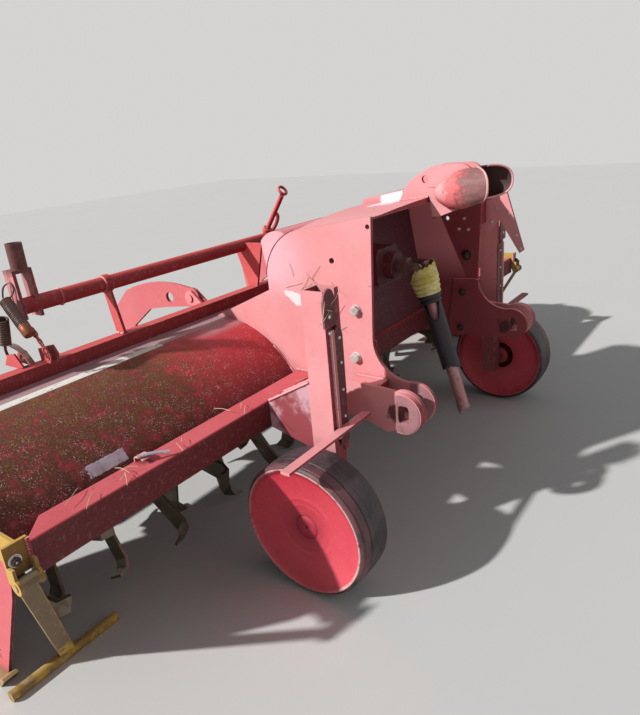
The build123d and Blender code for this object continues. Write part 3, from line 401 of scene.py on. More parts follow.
def hoodFinish():
    material, where = newFinish("hoodPaint")
    colour, roughness, height = paintLayers(where, hoodLook)
    axes = axesOf(where)
    across = calc("ABSOLUTE", axes["X"])
    drift = noise(where, 3.2, 5.0, 0.6)
    outer = step(plus(across, times(drift, 0.40)), 0.74, 1.10)
    upper = step(plus(axes["Y"], times(drift, 0.16)), -0.34, -0.02)
    upper = times(upper, minus(1.0, times(step(axes["Y"], 0.10, 0.40), 0.8)))
    grain = noise(where, 210.0, 6.0, 0.8)
    clumps = noise(where, 34.0, 7.0, 0.78)
    growth = times(outer, plus(0.35, times(upper, 0.65)))
    moss = times(step(plus(clumps, times(growth, 0.20)), 0.52, 0.68), outer)
    colour = coat(colour, hoodLook["moss"], moss, 0.85)
    grainB = noise(stretch(where, (1.0, 1.1, 0.9)), 120.0, 5.0, 0.8)
    purple = times(moss, step(grainB, 0.50, 0.60))
    below = step(plus(axes["Y"], times(drift, 0.2)), 0.02, -0.14)
    moors = over(below, *hoodLook["moors"])
    colour = coat(colour, moors, purple, 0.85)
    lichen = times(step(grain, 0.48, 0.56), step(clumps, 0.42, 0.56), growth, step(upper, 0.0, 0.9))
    colour = coat(colour, hoodLook["lichen"], lichen, 0.85)
    pitted = times(step(grainB, 0.40, 0.32), growth)
    colour = coat(colour, hoodLook["pits"], pitted, 0.8)
    cells = put("TexVoronoi", {"Vector": where, "Scale": 210.0}).outputs["Distance"]
    crustNoise = step(noise(where, 24.0, 6.0, 0.75), 0.46, 0.60)
    lower = step(axes["Y"], -0.05, -0.20)
    crust = times(step(cells, 0.34, 0.18), crustNoise, plus(0.45, lower))
    colour = coat(colour, hoodLook["crust"], crust, 0.80)
    shelf = band(axes["Y"], hoodLook["creaseY"], hoodLook["shelfEnd"], 0.004)
    dusty = times(shelf, step(noise(where, 6.0, 5.0), 0.18, 0.36))
    colour = coat(colour, hoodLook["shelf"], dusty, 0.88)
    nearTower = times(step(across, 0.66, 0.52), band(axes["Y"], -0.070, -0.008, 0.02))
    colour = coat(colour, hoodLook["shelf"], nearTower, 0.5)
    behind = band(axes["Y"], 0.031, hoodLook["shelfEnd"], 0.003)
    colour = coat(colour, hoodLook["lilac"], behind, 0.8)
    seam = times(band(axes["Y"], 0.018, 0.027, 0.004), step(grain, 0.40, 0.55))
    colour = coat(colour, hoodLook["seam"], seam, 0.80)
    inner, outerEnd = -hoodLook["stripeX"][1], -hoodLook["stripeX"][0]
    stripe = times(
        band(axes["Y"], *hoodLook["stripeY"], 0.0012),
        band(across, inner, outerEnd, 0.002),
        step(noise(where, 70.0, 6.0, 0.8), 0.64, 0.57),
    )
    colour = over(stripe, colour, hoodLook["stripe"])
    roughness = plus(roughness, times(moss, 0.3))
    height = plus(height, times(times(moss, grain), 0.9))
    height = plus(height, times(crust, 0.35))
    return closeFinish(material, colour, roughness, height, strength=0.55, depth=0.003)


# Bare or rusty metal: three tones by noise, soil and painted shade in the corners, brushed or pitted bump
def metalFinish(
    name, tones, soilAndShade, metal, rough, brushed=(1.0, 1.0, 1.0), grain=90.0, dusty=0.7, rustScale=24.0
):
    material, where = newFinish(name)
    drawn = stretch(where, brushed)
    broad = noise(where, 6.5, 6.0, 0.65)
    fine = noise(drawn, grain, 5.0, 0.65)
    colour = over(step(broad, 0.36, 0.62), tones[0], tones[1])
    rusty = step(noise(drawn, rustScale, 7.0, 0.72, 0.3), 0.50, 0.64)
    colour = coat(colour, tones[2], rusty, 0.75)
    colour = coat(colour, tones[0], step(fine, 0.50, 0.72), 0.30)
    # Soil and painted shade: corners take the soil colour by occlusion, and so do broad noise patches
    dirtAndShade = plus(step(crevice(0.05), 0.15, 0.8), step(broad, 0.56, 0.72))
    dirtAndShade = times(calc("MINIMUM", dirtAndShade, 1.0), dusty)
    colour = over(dirtAndShade, colour, soilAndShade)
    bare = times(metal, minus(1.0, calc("MAXIMUM", rusty, dirtAndShade)))
    roughness = plus(rough, times(calc("MAXIMUM", rusty, dirtAndShade), 0.35))
    height = plus(times(fine, 0.35), times(rusty, 0.3))
    return closeFinish(material, colour, roughness, height, metal=bare, strength=0.45, depth=0.0015)


# Tread: dark smooth band, dusty pink near the outer side, brown dust over all
rubberLook = {
    "tones": ((40, 34, 39), (72, 62, 67)),
    "drawn": (60, 50, 56),
    "dust": (112, 92, 84),
    "pink": (132, 70, 74),
    "pinkEdge": (0.022, 0.030),
}


def rubberFinish():
    material, where = newFinish("dustyRubber")
    axes = axesOf(where)
    across = calc("ABSOLUTE", axes["X"])
    nearEdge = step(across, *(wheelMiddle["X"] + reach for reach in rubberLook["pinkEdge"]))
    cloudy = noise(where, 12.0, 6.0, 0.65)
    fine = noise(where, 180.0, 4.0, 0.6)
    drawn = noise(stretch(where, (140.0, 9.0, 9.0)), 1.0, 5.0, 0.65)
    colour = over(step(cloudy, 0.35, 0.65), *rubberLook["tones"])
    colour = coat(colour, rubberLook["drawn"], step(drawn, 0.50, 0.70), 0.4)
    dusty = times(step(noise(where, 34.0, 6.0, 0.72), 0.50, 0.72), 0.45)
    colour = over(dusty, colour, rubberLook["dust"])
    pink = times(plus(0.05, times(nearEdge, 0.50)), step(cloudy, 0.34, 0.62))
    colour = over(pink, colour, rubberLook["pink"])
    height = plus(times(fine, 0.3), cloudy)
    return closeFinish(material, colour, plus(0.55, times(dusty, 0.3)), height, strength=0.4)


# Wheel disc: crimson turning pink towards the sun, sun fading and painted light together, its rolled lip worn
# pale and paler on the lit side as painted light, with painted shade towards the hub, in the ring groove and at
# the centre dot
wheelLook = {
    **oldPaint,
    "deep": (126, 18, 34),
    "faded": (204, 52, 70),
    "chalk": (232, 94, 106),
    "hub": (132, 22, 40),
    "groove": (64, 14, 24),
    "lip": ((150, 116, 112), (208, 174, 168)),
    "chips": 0.1,
    "specks": 0.2,
    "dusty": 0.18,
    "rough": 0.36,
}


def wheelFinish():
    material, where = newFinish("wheelPaint")
    colour, roughness, height = paintLayers(where, wheelLook)
    axes = axesOf(where)
    across = calc("ABSOLUTE", axes["X"])
    arm = [minus(axes[way], wheelMiddle[way]) for way in "YZ"]
    away = calc("SQRT", plus(calc("POWER", arm[0], 2.0), calc("POWER", arm[1], 2.0)))
    # Painted shade: darker towards the hub of the dished disc
    hub = times(step(away, 0.11, 0.02), 0.55)
    colour = over(hub, colour, wheelLook["hub"])
    # Painted shade in the shallow ring groove and at the centre dimple
    groove = calc("MAXIMUM", band(away, 0.0355, 0.0378, 0.001), step(away, 0.0056, 0.0046))
    colour = coat(colour, wheelLook["groove"], groove, 0.7)
    lip = step(across, wheelMiddle["X"] + 0.0615, wheelMiddle["X"] + 0.0655)
    lip = times(lip, step(away, 0.180, 0.184))
    # Painted light: the pale lip stays full on the lit front-upper side and is muted to 0.35 on the shaded side
    ahead = minus(times(arm[1], 0.585), times(arm[0], 0.811))
    lip = times(lip, calc("MULTIPLY_ADD", step(ahead, -0.03, 0.04), 0.65, 0.35))
    ragged = step(noise(where, 60.0, 5.0, 0.7), 0.34, 0.50)
    colour = coat(colour, over(ragged, *wheelLook["lip"]), lip, ragged)
    roughness = minus(roughness, times(lip, 0.1))
    return closeFinish(material, colour, roughness, height, strength=0.25, depth=0.003)


# Funnels: rubbed down to grey-brown metal near the mouth, and painted dark on their inner faces as painted
# shade
funnelLook = {
    **oldPaint,
    "bare": ((120, 80, 78), (148, 102, 98)),
    "redder": (224, 92, 92),
    "inside": (66, 36, 32),
    "chips": 0.7,
}


def funnelFinish():
    material, where = newFinish("funnelPaint")
    colour, roughness, height = paintLayers(where, funnelLook)
    axes = axesOf(where)
    patchy = noise(where, 26.0, 6.0, 0.7)
    forward = plus(axes["Y"], times(minus(patchy, 0.5), 0.22))
    rubbed = step(forward, -0.706, -0.734)
    grain = noise(stretch(where, (60.0, 26.0, 90.0)), 1.0, 5.0, 0.7)
    bare = over(step(grain, 0.35, 0.70), *funnelLook["bare"])
    colour = coat(colour, bare, rubbed, 0.94)
    redder = times(band(forward, -0.742, -0.668, 0.012), step(patchy, 0.38, 0.54))
    colour = coat(colour, funnelLook["redder"], redder, 0.75)
    # Painted shade: faces turned in towards the middle are painted dark
    outward = axesOf(lookOf())["X"]
    hidden = times(outward, calc("SIGN", axes["X"]), -1.0)
    colour = over(step(hidden, 0.05, 0.35), colour, funnelLook["inside"])
    return closeFinish(material, colour, roughness, height, strength=0.35, depth=0.003)


# Plastic: two tones in clouds, torn bands of cracks, dirt and painted shade in the corners, and dirt in the
# pores
def plasticFinish(name, clean, faded, dirtAndShade, cracks):
    material, where = newFinish(name)
    cloudy = noise(where, 16.0, 6.0, 0.65)
    fine = noise(where, 150.0, 4.0, 0.6)
    colour = over(step(cloudy, 0.35, 0.62), clean, faded)
    torn = noise(stretch(where, (18.0, 18.0, 60.0)), 1.0, 6.0, 0.7, 0.6)
    crack = times(band(torn, 0.47, 0.50, 0.012), cracks)
    colour = over(crack, colour, dirtAndShade)
    # Dirt and painted shade: corners take the dirt colour by occlusion
    soilAndShade = plus(step(crevice(0.04), 0.2, 0.8), step(fine, 0.66, 0.78))
    colour = over(calc("MINIMUM", times(soilAndShade, 0.7), 1.0), colour, dirtAndShade)
    height = minus(times(fine, 0.2), crack)
    return closeFinish(material, colour, plus(0.42, times(cloudy, 0.3)), height, strength=0.4)


# Plain paints, by what sets each apart from the old paint
paints = {
    "goldPaint": {"deep": (132, 94, 22), "faded": (196, 152, 50), "chalk": (212, 176, 92),
        "stain": (96, 66, 34), "chips": 0.9, "dusty": 0.35},
    "beamPaint": {"deep": (92, 15, 21), "faded": (196, 64, 72), "chalk": (228, 122, 128), "sun": (0.1, 0.62),
        "chips": 1.3, "specks": 0.3, "dusty": 0.26},
    "railPaint": {"deep": (130, 26, 32), "faded": (206, 70, 70), "chalk": (226, 110, 108), "dusty": 0.28},
    "armPaint": {"faded": (206, 92, 98), "chalk": (226, 138, 140)},
    "shadePaint": {"deep": (92, 34, 38), "faded": (134, 58, 60), "chalk": (160, 82, 82), "chips": 0.9},
    # Painted shade: a dark red-brown for the bulkhead, gearbox and chain case
    "shadedWallPaint": {"deep": (84, 34, 42), "faded": (120, 44, 54), "chalk": (130, 60, 66), "dusty": 0.2},
    "palePaint": {"deep": (196, 120, 120), "faded": (236, 172, 170), "chips": 0.7},
    "ochrePaint": {"deep": (112, 84, 40), "faded": (158, 132, 78), "chalk": (178, 160, 122),
        "stain": (96, 70, 40), "chips": 0.9, "dusty": 0.6},
    "weldPaint": {"chips": 0.3, "specks": 0.1},
}
# Metals: three tones, the soil and painted shade in the corners, and how metallic and rough the clean places
# are
metals = {
    "copperCap": {"tones": ((120, 66, 44), (144, 84, 58), (92, 48, 34)), "soilAndShade": (64, 40, 32), "metal": 0.6,
        "rough": 0.5, "dusty": 0.5},
    "wornSteel": {"tones": ((96, 86, 74), (122, 108, 90), (86, 62, 46)), "soilAndShade": (56, 46, 38), "metal": 0.7,
        "rough": 0.45, "brushed": (1.0, 0.12, 0.5), "grain": 60.0, "dusty": 0.5, "rustScale": 34.0},
    "darkIron": {"tones": ((44, 40, 40), (58, 52, 50), (78, 50, 38)), "soilAndShade": (50, 42, 36), "metal": 0.4,
        "rough": 0.55},
    "bareSteel": {"tones": ((146, 130, 124), (172, 140, 130), (122, 76, 58)), "soilAndShade": (92, 76, 66),
        "metal": 0.85, "rough": 0.36, "brushed": (0.3, 1.0, 1.0), "dusty": 0.5},
    "boltSteel": {"tones": ((238, 234, 230), (216, 212, 212), (156, 124, 108)), "soilAndShade": (126, 102, 94),
        "metal": 0.35, "rough": 0.34, "dusty": 0.4},
    "tubeSteel": {"tones": ((190, 140, 138), (168, 116, 114), (132, 84, 76)), "soilAndShade": (104, 72, 66),
        "metal": 0.35, "rough": 0.45, "dusty": 0.35},
    "darkBolt": {"tones": ((62, 52, 50), (84, 64, 58), (96, 60, 44)), "soilAndShade": (58, 46, 40), "metal": 0.7,
        "rough": 0.5, "dusty": 0.6},
    "springSteel": {"tones": ((118, 104, 100), (98, 80, 74), (112, 66, 46)), "soilAndShade": (62, 48, 42), "metal": 0.8,
        "rough": 0.4, "dusty": 0.5},
    "dustySteel": {"tones": ((128, 116, 104), (104, 92, 84), (96, 70, 54)), "soilAndShade": (140, 124, 104),
        "metal": 0.5, "rough": 0.6, "dusty": 0.9},
    "palePlate": {"tones": ((206, 196, 206), (188, 176, 190), (150, 112, 104)), "soilAndShade": (120, 96, 92),
        "metal": 0.25, "rough": 0.45, "dusty": 0.5},
    "ringSteel": {"tones": ((196, 142, 146), (176, 124, 128), (124, 78, 70)), "soilAndShade": (70, 50, 46),
        "metal": 0.3, "rough": 0.45, "dusty": 0.6},
}
plastics = {
    "dryStraw": {"clean": (206, 184, 144), "faded": (230, 214, 182), "dirtAndShade": (150, 122, 86), "cracks": 0.0},
    "guardYellow": {"clean": (224, 202, 98), "faded": (246, 236, 178), "dirtAndShade": (112, 96, 52), "cracks": 0.45},
    "guardBlack": {"clean": (34, 30, 36), "faded": (52, 46, 52), "dirtAndShade": (70, 60, 56), "cracks": 0.3},
}
finishes = {
    "towerPaint": towerFinish(),
    "standPaint": standFinish(),
    "endPaint": endFinish(),
    "wheelPaint": wheelFinish(),
    "hoodPaint": hoodFinish(),
    "funnelPaint": funnelFinish(),
    "dustyRubber": rubberFinish(),
}
finishes.update({name: paintFinish(name, **look) for name, look in paints.items()})
finishes.update({name: metalFinish(name, **look) for name, look in metals.items()})
finishes.update({name: plasticFinish(name, **look) for name, look in plastics.items()})
print("finishes made:", len(finishes))

# Which solids of the frame wear each finish, by the start of their names; the first that fits is taken
wears = {
    "hoodPaint": ("hood_right", "hood_left", "hood_middle"),
    "beamPaint": ("end_plate", "front_beam"),
    "ochrePaint": ("end_skids",),
    "goldPaint": ("stand_brackets",),
    "standPaint": ("stand",),
    "endPaint": ("rail_ends",),
    "railPaint": ("rear_beam", "rear_rail", "rail_"),
    "armPaint": ("hood_arm",),
    "wornSteel": ("rotor_blades", "ridge_pan"),
    "shadePaint": ("wheel_post_left",),
    "darkIron": ("rotor_shaft", "rotor_bearings"),
    "shadedWallPaint": ("gearbox", "chain_case", "tower_bulkhead"),
    "dustyRubber": ("wheel_tyre",),
    "wheelPaint": ("wheel_rim",),
    "guardYellow": ("shaft_bell",),
    "guardBlack": ("shaft_guard",),
    "tubeSteel": ("drive_shaft",),
    "bareSteel": ("input_yoke",),
}
for name, solid in nodes.items():
    chosen = [finish for finish, starts in wears.items() if name.startswith(starts)]
    solid.data.materials.clear()
    solid.data.materials.append(finishes[chosen[0] if chosen else "towerPaint"])
print("solids finished:", len(nodes))


# Surfaces: every new shape is a grid of points, rows by columns, whose neighbours are joined into quads
def gridFaces(rows, columns, wrapRows, wrapColumns, start):
    down = np.arange(rows if wrapRows else rows - 1)[:, None]
    along = np.arange(columns if wrapColumns else columns - 1)[None, :]
    below, beside = (down + 1) % rows, (along + 1) % columns
    corners = (
        down * columns + along, down * columns + beside, below * columns + beside, below * columns + along
    )
    return np.stack(np.broadcast_arrays(*corners), axis=-1).reshape(-1, 4) + start


def addPiece(name, patches, finish, replaces=(), body="frame", sharp=40.0, wall=0.0):
    points, faces, count = [], [], 0
    for grid, wrapRows, wrapColumns in patches:
        rows, columns = grid.shape[:2]
        points.append(grid.reshape(-1, 3))
        faces.append(gridFaces(rows, columns, wrapRows, wrapColumns, count))
        count += rows * columns
    mesh = bpy.data.meshes.new(name)
    mesh.from_pydata(np.concatenate(points).tolist(), [], np.concatenate(faces).tolist())
    shape = bmesh.new()
    shape.from_mesh(mesh)
    bmesh.ops.remove_doubles(shape, verts=shape.verts, dist=2e-6)  # closes seams and poles
    bmesh.ops.recalc_face_normals(shape, faces=shape.faces)
    shape.to_mesh(mesh)
    shape.free()
    mesh.shade_smooth()
    mesh.set_sharp_from_angle(angle=math.radians(sharp))
    mesh.materials.append(finishes[finish])
    piece = bpy.data.objects.new(name, mesh)
    bpy.context.scene.collection.objects.link(piece)
    if wall:
        sheet = piece.modifiers.new("wall", "SOLIDIFY")
        sheet.thickness = wall
        sheet.offset = 0.0
    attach(piece, body)
    if replaces:
        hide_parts(*replaces)
    return piece


def unit(vectors):
    return vectors / np.linalg.norm(vectors, axis=-1, keepdims=True)


def fullTurn(count):
    return np.linspace(0.0, 2 * np.pi, count, endpoint=False)


def acrossAxes(axis):  # the axis as a unit vector and two more across it
    axis = unit(np.array(axis, float))
    helper = np.array((0.0, 0.0, 1.0)) if abs(axis[2]) < 0.9 else np.array((0.0, 1.0, 0.0))
    first = unit(np.cross(helper, axis))
    return axis, first, np.cross(axis, first)


# Turned surface: centre + along * axis + radius * (cos a * first + sin a * second) for each profile point
def lathe(centre, axis, profile, turns=48, loop=False, start=0.0):
    axis, first, second = acrossAxes(axis)
    radius, along = np.array(profile, float).T[:, None, :, None]
    angle = (fullTurn(turns) + start)[:, None, None]
    ring = np.cos(angle) * first + np.sin(angle) * second
    return np.array(centre) + along * axis + radius * ring, True, loop


# Carried profile: path point + size * (section x * side + section y * above), both across the path
def sweep(path, section, closed=False, up=(0.0, 0.0, 1.0), size=1.0):
    path, section = np.array(path, float), np.array(section, float)
    ahead = np.roll(path, -1, 0) - np.roll(path, 1, 0) if closed else np.gradient(path, axis=0)
    ahead = unit(ahead)
    side = unit(np.cross(ahead, up))
    above = np.cross(side, ahead)
    spread = section[None, :, :1] * side[:, None] + section[None, :, 1:] * above[:, None]
    grid = path[:, None] + np.broadcast_to(size, len(path))[:, None, None] * spread
    if not closed:  # both ends are drawn in to a point on the path
        ends = [np.repeat(path[end][None, None], len(section), axis=1) for end in (0, -1)]
        grid = np.concatenate([ends[0], grid, ends[1]])
    return grid, closed, True


def roundSection(radius, count=10):
    angle = fullTurn(count)
    return np.stack([radius * np.cos(angle), radius * np.sin(angle)], axis=-1)


def boxSection(width, height, corner=0.1):  # a rectangle with its corners cut at a share of its lower side
    x, y = width / 2, height / 2
    cut = corner * min(width, height)
    quarter = np.array([(x, y - cut), (x - cut, y)])
    half = np.concatenate([quarter, (quarter * (-1, 1))[::-1]])
    return np.concatenate([half, (half * (1, -1))[::-1]])


# Smooth curve through a few given points, each span a cubic of its two ends and their neighbours
def smoothPath(points, count=40):
    p = np.array(points, float)
    p = np.vstack([2 * p[0] - p[1], p, 2 * p[-1] - p[-2]])
    t = np.linspace(0, len(p) - 3, count)
    i = np.minimum(t.astype(int), len(p) - 4)
    f = (t - i)[:, None]
    a, b, c, d = p[i], p[i + 1], p[i + 2], p[i + 3]
    return 0.5 * (2 * b + (c - a) * f + (2 * a - 5 * b + 4 * c - d) * f**2 + (3 * b - a - 3 * c + d) * f**3)


def wander(t, seed, waves=5):  # a smooth uneven wave between about -1 and 1
    rng = np.random.default_rng(seed)
    pitch, phase = rng.uniform(0.6, 3.2, waves), rng.uniform(0, 2 * np.pi, waves)
    return np.sin(np.multiply.outer(t, pitch) * 2 * np.pi + phase).sum(-1) / waves * 1.6


# Plate: rows follow an outline and columns run from its middle out over the front, round the edge and back in.
# Point = middle + share * (outline - middle) + lift * normal; with a hole the columns run from its outline
def plate(outline, normal, thick, hole=None, edge=0.0012):
    outline, normal = np.array(outline, float), unit(np.array(normal, float))
    centre = outline.mean(axis=0)
    size = np.linalg.norm(outline - centre, axis=1).mean()
    face = [thick - edge, thick] if hole is not None else [thick]
    inner = np.broadcast_to(centre, outline.shape) if hole is None else np.array(hole, float)
    cut = edge / size
    share = np.array([0.0, 1 - cut, 1.0, 1.0, 0.0] if hole is None else [0.0, cut, 1 - cut, 1.0, 1.0, 0.0])
    lift = np.array([*face, thick, thick - edge, 0.0, 0.0])
    grid = inner[:, None] + share[None, :, None] * (outline - inner)[:, None] + lift[None, :, None] * normal
    return grid, True, hole is not None


# Weld bead: a round profile carried between two points, swelling once for every ripple
def weld(start, stop, radius=0.0045, seed=1):
    start, stop = np.array(start, float), np.array(stop, float)
    length = np.linalg.norm(stop - start)
    t = np.linspace(0.0, 1.0, max(8, int(length / 0.0018)))
    swell = 1 + 0.16 * np.sin(t * length / 0.0058 * 2 * np.pi) + 0.16 * wander(t * 3, seed)
    up = (0.0, 0.0, 1.0) if abs(stop[2] - start[2]) < 0.8 * length else (0.0, 1.0, 0.0)
    return sweep(start + t[:, None] * (stop - start), roundSection(radius, 8), up=up, size=swell)


# Bolt: a six-sided turned head with its rim cut back, on a round washer
def bolt(place, direction, size, washer=0.0, shank=0.0):
    corner, height = size * 0.577, size * 0.6
    head = [(0, height), (corner * 0.86, height), (corner, height * 0.86), (corner, -0.002), (0, -0.002)]
    patches = [lathe(place, direction, head, turns=6, start=place[1] * 40)]
    if washer:
        rim = [(0, 0.003), (washer - 0.0008, 0.003), (washer, 0.0022), (washer, -0.002), (0, -0.002)]
        patches.append(lathe(place, direction, rim, turns=20))
    if shank:
        stud = [
            (0, height + shank), (size * 0.28, height + shank), (size * 0.32, height + shank - 0.002),
            (size * 0.32, 0)
        ]
        patches.append(lathe(place, direction, stud, turns=12))
    return patches


# Coil: wire turned about a straight line, centre line + coil * (cos a * first + sin a * second)
def coil(start, stop, radius, wire, turns):
    start, stop = np.array(start, float), np.array(stop, float)
    axis, first, second = acrossAxes(stop - start)
    t = np.linspace(0.0, 1.0, int(turns * 14))[:, None]
    angle = 2 * np.pi * turns * t
    path = start + t * (stop - start) + radius * (np.cos(angle) * first + np.sin(angle) * second)
    return sweep(path, roundSection(wire, 7), up=axis)


sides = {"right": -1, "left": 1}
rotorAxis = (0.030, 0.318)  # Y and Z of the rotor


def middle(name):  # a node's centre and half sizes, at rest
    low, high = (np.array(corner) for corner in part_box(name))
    return (low + high) / 2, (high - low) / 2


# Depth wheels: a worn ribbed band on a dished disc with a rolled lip
wheelShape = {
    "bead": 0.1850,
    "crown": 0.2048,
    "drop": 0.0040,
    "shoulder": 0.0085,
    "shoulderStart": 0.86,
    "grooves": (0.0110, 0.0400, 0.0620),
    "grooveDeep": (0.0036, 0.0034, 0.0012),
    "grooveHalf": 0.0016,
    "turns": 144,
    "across": 120,
}
# Radius and distance out from the wheel's middle, from the rolled lip in to the hub and round the back
discProfile = [
    (0.1925, 0.0590), (0.1928, 0.0640), (0.1915, 0.0668), (0.1890, 0.0672), (0.1868, 0.0655),
    (0.1845, 0.0628), (0.1700, 0.0585), (0.1400, 0.0520), (0.1100, 0.0470), (0.0925, 0.0446),
    (0.0905, 0.0447), (0.0885, 0.0441), (0.0720, 0.0422), (0.0700, 0.0423), (0.0680, 0.0418),
    (0.0560, 0.0408), (0.0460, 0.0402), (0.0400, 0.0400), (0.0372, 0.0396), (0.0362, 0.0396),
    (0.0350, 0.0408), (0.0200, 0.0410), (0.0050, 0.0410), (0.0040, 0.0406), (0.0000, 0.0406),
    (0.0000, 0.0375), (0.0163, 0.0375), (0.0163, -0.0400), (0.0340, -0.0400), (0.0380, -0.0380),
    (0.0380, 0.0290), (0.0420, 0.0300), (0.1560, 0.0480), (0.1790, 0.0560), (0.1790, -0.0380),
    (0.1500, -0.0330), (0.0800, -0.0270), (0.0620, -0.0280), (0.0600, -0.0310), (0.0620, -0.0340),
    (0.0800, -0.0350), (0.1500, -0.0410), (0.1760, -0.0480), (0.1830, -0.0600), (0.1860, -0.0640),
    (0.1900, -0.0640), (0.1920, -0.0600),
]


# Tread: radius over the width is the crown less a parabola, less a rounded shoulder, less a dip at each groove
def treadPatch(centre, out, half):
    look = wheelShape
    x = np.linspace(-half, half, look["across"])
    share = np.abs(x) / half
    edge = np.clip((share - look["shoulderStart"]) / (1 - look["shoulderStart"]), 0, 1)
    radius = look["crown"] - look["drop"] * share**2 - look["shoulder"] * edge**2.4
    for place, deep in zip(look["grooves"], look["grooveDeep"]):
        radius = radius - deep * np.exp(-(((x - out * (half - place)) / look["grooveHalf"]) ** 4))
    x = np.concatenate([x, [half - 0.003, -half + 0.003]])
    radius = np.concatenate([radius, [look["bead"], look["bead"]]])
    angle = fullTurn(look["turns"])[:, None]
    wear = 1 + 0.0012 * wander(np.linspace(0, 3, look["turns"]), 4)[:, None] * (radius > 0.185)
    grid = np.stack(
        np.broadcast_arrays(x, radius * wear * np.cos(angle), radius * wear * np.sin(angle)), axis=-1
    )
    return grid + centre, True, True


for sideName, out in sides.items():
    tyreMiddle, tyreHalf = middle(f"wheel_tyre_{sideName}")
    body = f"wheel_{sideName}"
    addPiece(
        f"tread_{sideName}", [treadPatch(tyreMiddle, out, tyreHalf[0])], "dustyRubber",
        [f"wheel_tyre_{sideName}"], body=body, sharp=60.0
    )
    addPiece(
        f"disc_{sideName}", [lathe(tyreMiddle, (out, 0, 0), discProfile, turns=128, loop=True)], "wheelPaint",
        [f"wheel_rim_{sideName}"], body=body, sharp=50.0
    )
print("wheels made")

# Catching funnels: half bullets on the outside of the top link cheeks, open to the front
funnelShape = {
    "wallX": 0.0422,
    "mouthInner": -0.770,
    "mouthOuter": -0.828,
    "noseY": -0.632,
    "reach": 0.064,
    "half": 0.050,
    "swell": 0.16,
    "midZ": 1.0440,
    "droop": 0.022,
    "wall": 0.004,
    "lip": 0.0036,
    "tear": 0.012,
}


# Half bullet: reach falls to nothing at the nose as (1 - s^2.4)^0.55, and the D section is a squared ellipse
def funnelPatch(side, rows=44, columns=56):
    look = funnelShape
    s = np.linspace(0, 1, rows)[:, None] ** 1.25
    angle = np.linspace(0, np.pi, columns)[None, :]
    reach = look["reach"] * (1 - 0.999 * s**2.4) ** 0.55
    belly = 1 + look["swell"] * np.sin(np.pi * np.minimum(s * 1.1, 1))
    half = look["half"] * belly * (1 - 0.92 * s**3.2) ** 0.7
    x = side * (look["wallX"] + reach * np.sin(angle) ** 0.72)
    z = look["midZ"] - look["droop"] * np.sin(s * np.pi / 2)
    z = z + half * np.sign(np.cos(angle)) * np.abs(np.cos(angle)) ** 0.84
    lower = np.exp(-(((angle - 2.75) / 0.30) ** 2))  # where the lower edge is torn
    mouth = look["mouthInner"] + (look["mouthOuter"] - look["mouthInner"]) * np.sin(angle) ** 0.8
    mouth = mouth + look["tear"] * lower * (0.65 + 0.35 * np.sin(angle * 31))
    y = mouth + (look["noseY"] - mouth) * s
    dent = 0.003 * np.exp(-(((angle - 0.9) / 0.3) ** 2) - ((s - 0.25) / 0.12) ** 2)
    return np.stack(np.broadcast_arrays(x - side * dent, y, z), axis=-1), False, False


funnelPatches, lipPatches = [], []
for side in sides.values():
    shell = funnelPatch(side)
    funnelPatches.append(shell)
    lipPatches.append(sweep(shell[0][0], roundSection(funnelShape["lip"], 8), up=(0, 1, 0)))
addPiece(
    "catchingFunnels", funnelPatches, "funnelPaint", ["top_link_funnels"], wall=funnelShape["wall"]
)
addPiece("funnelLips", lipPatches, "palePaint")
print("funnels made")

# Bolts: heads outside and nuts inside on the headstock, and smaller ones where pieces are fastened
boltPlaces = {
    "headstockOuter": ((-0.543, 0.728), (-0.533, 0.577)),
    "headstockInner": ((-0.548, 0.731), (-0.534, 0.580), (-0.524, 0.430)),
    "smallInner": ((-0.540, 0.874), (-0.517, 0.834), (-0.556, 0.832)),
    "linkPlate": (
        (-0.655, 0.960), (-0.640, 0.900), (-0.690, 0.880), (-0.720, 0.800), (-0.738, 0.748), (-0.622, 0.850)
    ),
    "sleeve": (0.780, 0.735),
    "bearing": (0.044, 45.0),
}
boltSizes = {"head": 0.027, "nut": 0.026, "small": 0.011, "bearing": 0.015, "stand": 0.017, "link": 0.010,
             "dot": 0.008, "blade": 0.020}  # across the flats
outerX, innerX = 0.411, 0.399  # the headstock plate's two faces
standWasher = [(0, 0.0025), (0.0135, 0.0025), (0.0145, 0.0015), (0.0145, -0.001), (0, -0.001)]
bright, dark = [], []
for side in sides.values():
    for y, z in boltPlaces["headstockOuter"]:
        bright += bolt((side * outerX, y, z), (side, 0, 0), boltSizes["head"], washer=0.0175)
    for y, z in boltPlaces["headstockInner"]:
        dark += bolt((side * innerX, y, z), (-side, 0, 0), boltSizes["nut"], washer=0.021, shank=0.010)
    for y, z in boltPlaces["smallInner"]:
        bright += bolt((side * innerX, y, z), (-side, 0, 0), boltSizes["small"])
    for z in boltPlaces["sleeve"]:
        bright += bolt((side * 0.640, -0.603, z), (0, -1, 0), boltSizes["small"])
    reach, turn = boltPlaces["bearing"]
    for angle in np.radians(turn + 90 * np.arange(4)):
        place = (side * 1.4790, rotorAxis[0] + reach * math.cos(angle), rotorAxis[1] + reach * math.sin(angle))
        dark += bolt(place, (side, 0, 0), boltSizes["bearing"])
    dark += bolt((side * 1.459, -0.3815, 0.484), (0, -1, 0), boltSizes["stand"], shank=0.006)
    bright.append(lathe((side * 1.459, -0.380, 0.484), (0, -1, 0), standWasher, turns=24))
for y, z in boltPlaces["linkPlate"]:
    bright += bolt((0.474, y, z), (-1, 0, 0), boltSizes["link"])
addPiece("brightBolts", bright, "boltSteel", sharp=25.0)
addPiece("darkBolts", dark, "darkBolt", sharp=25.0)

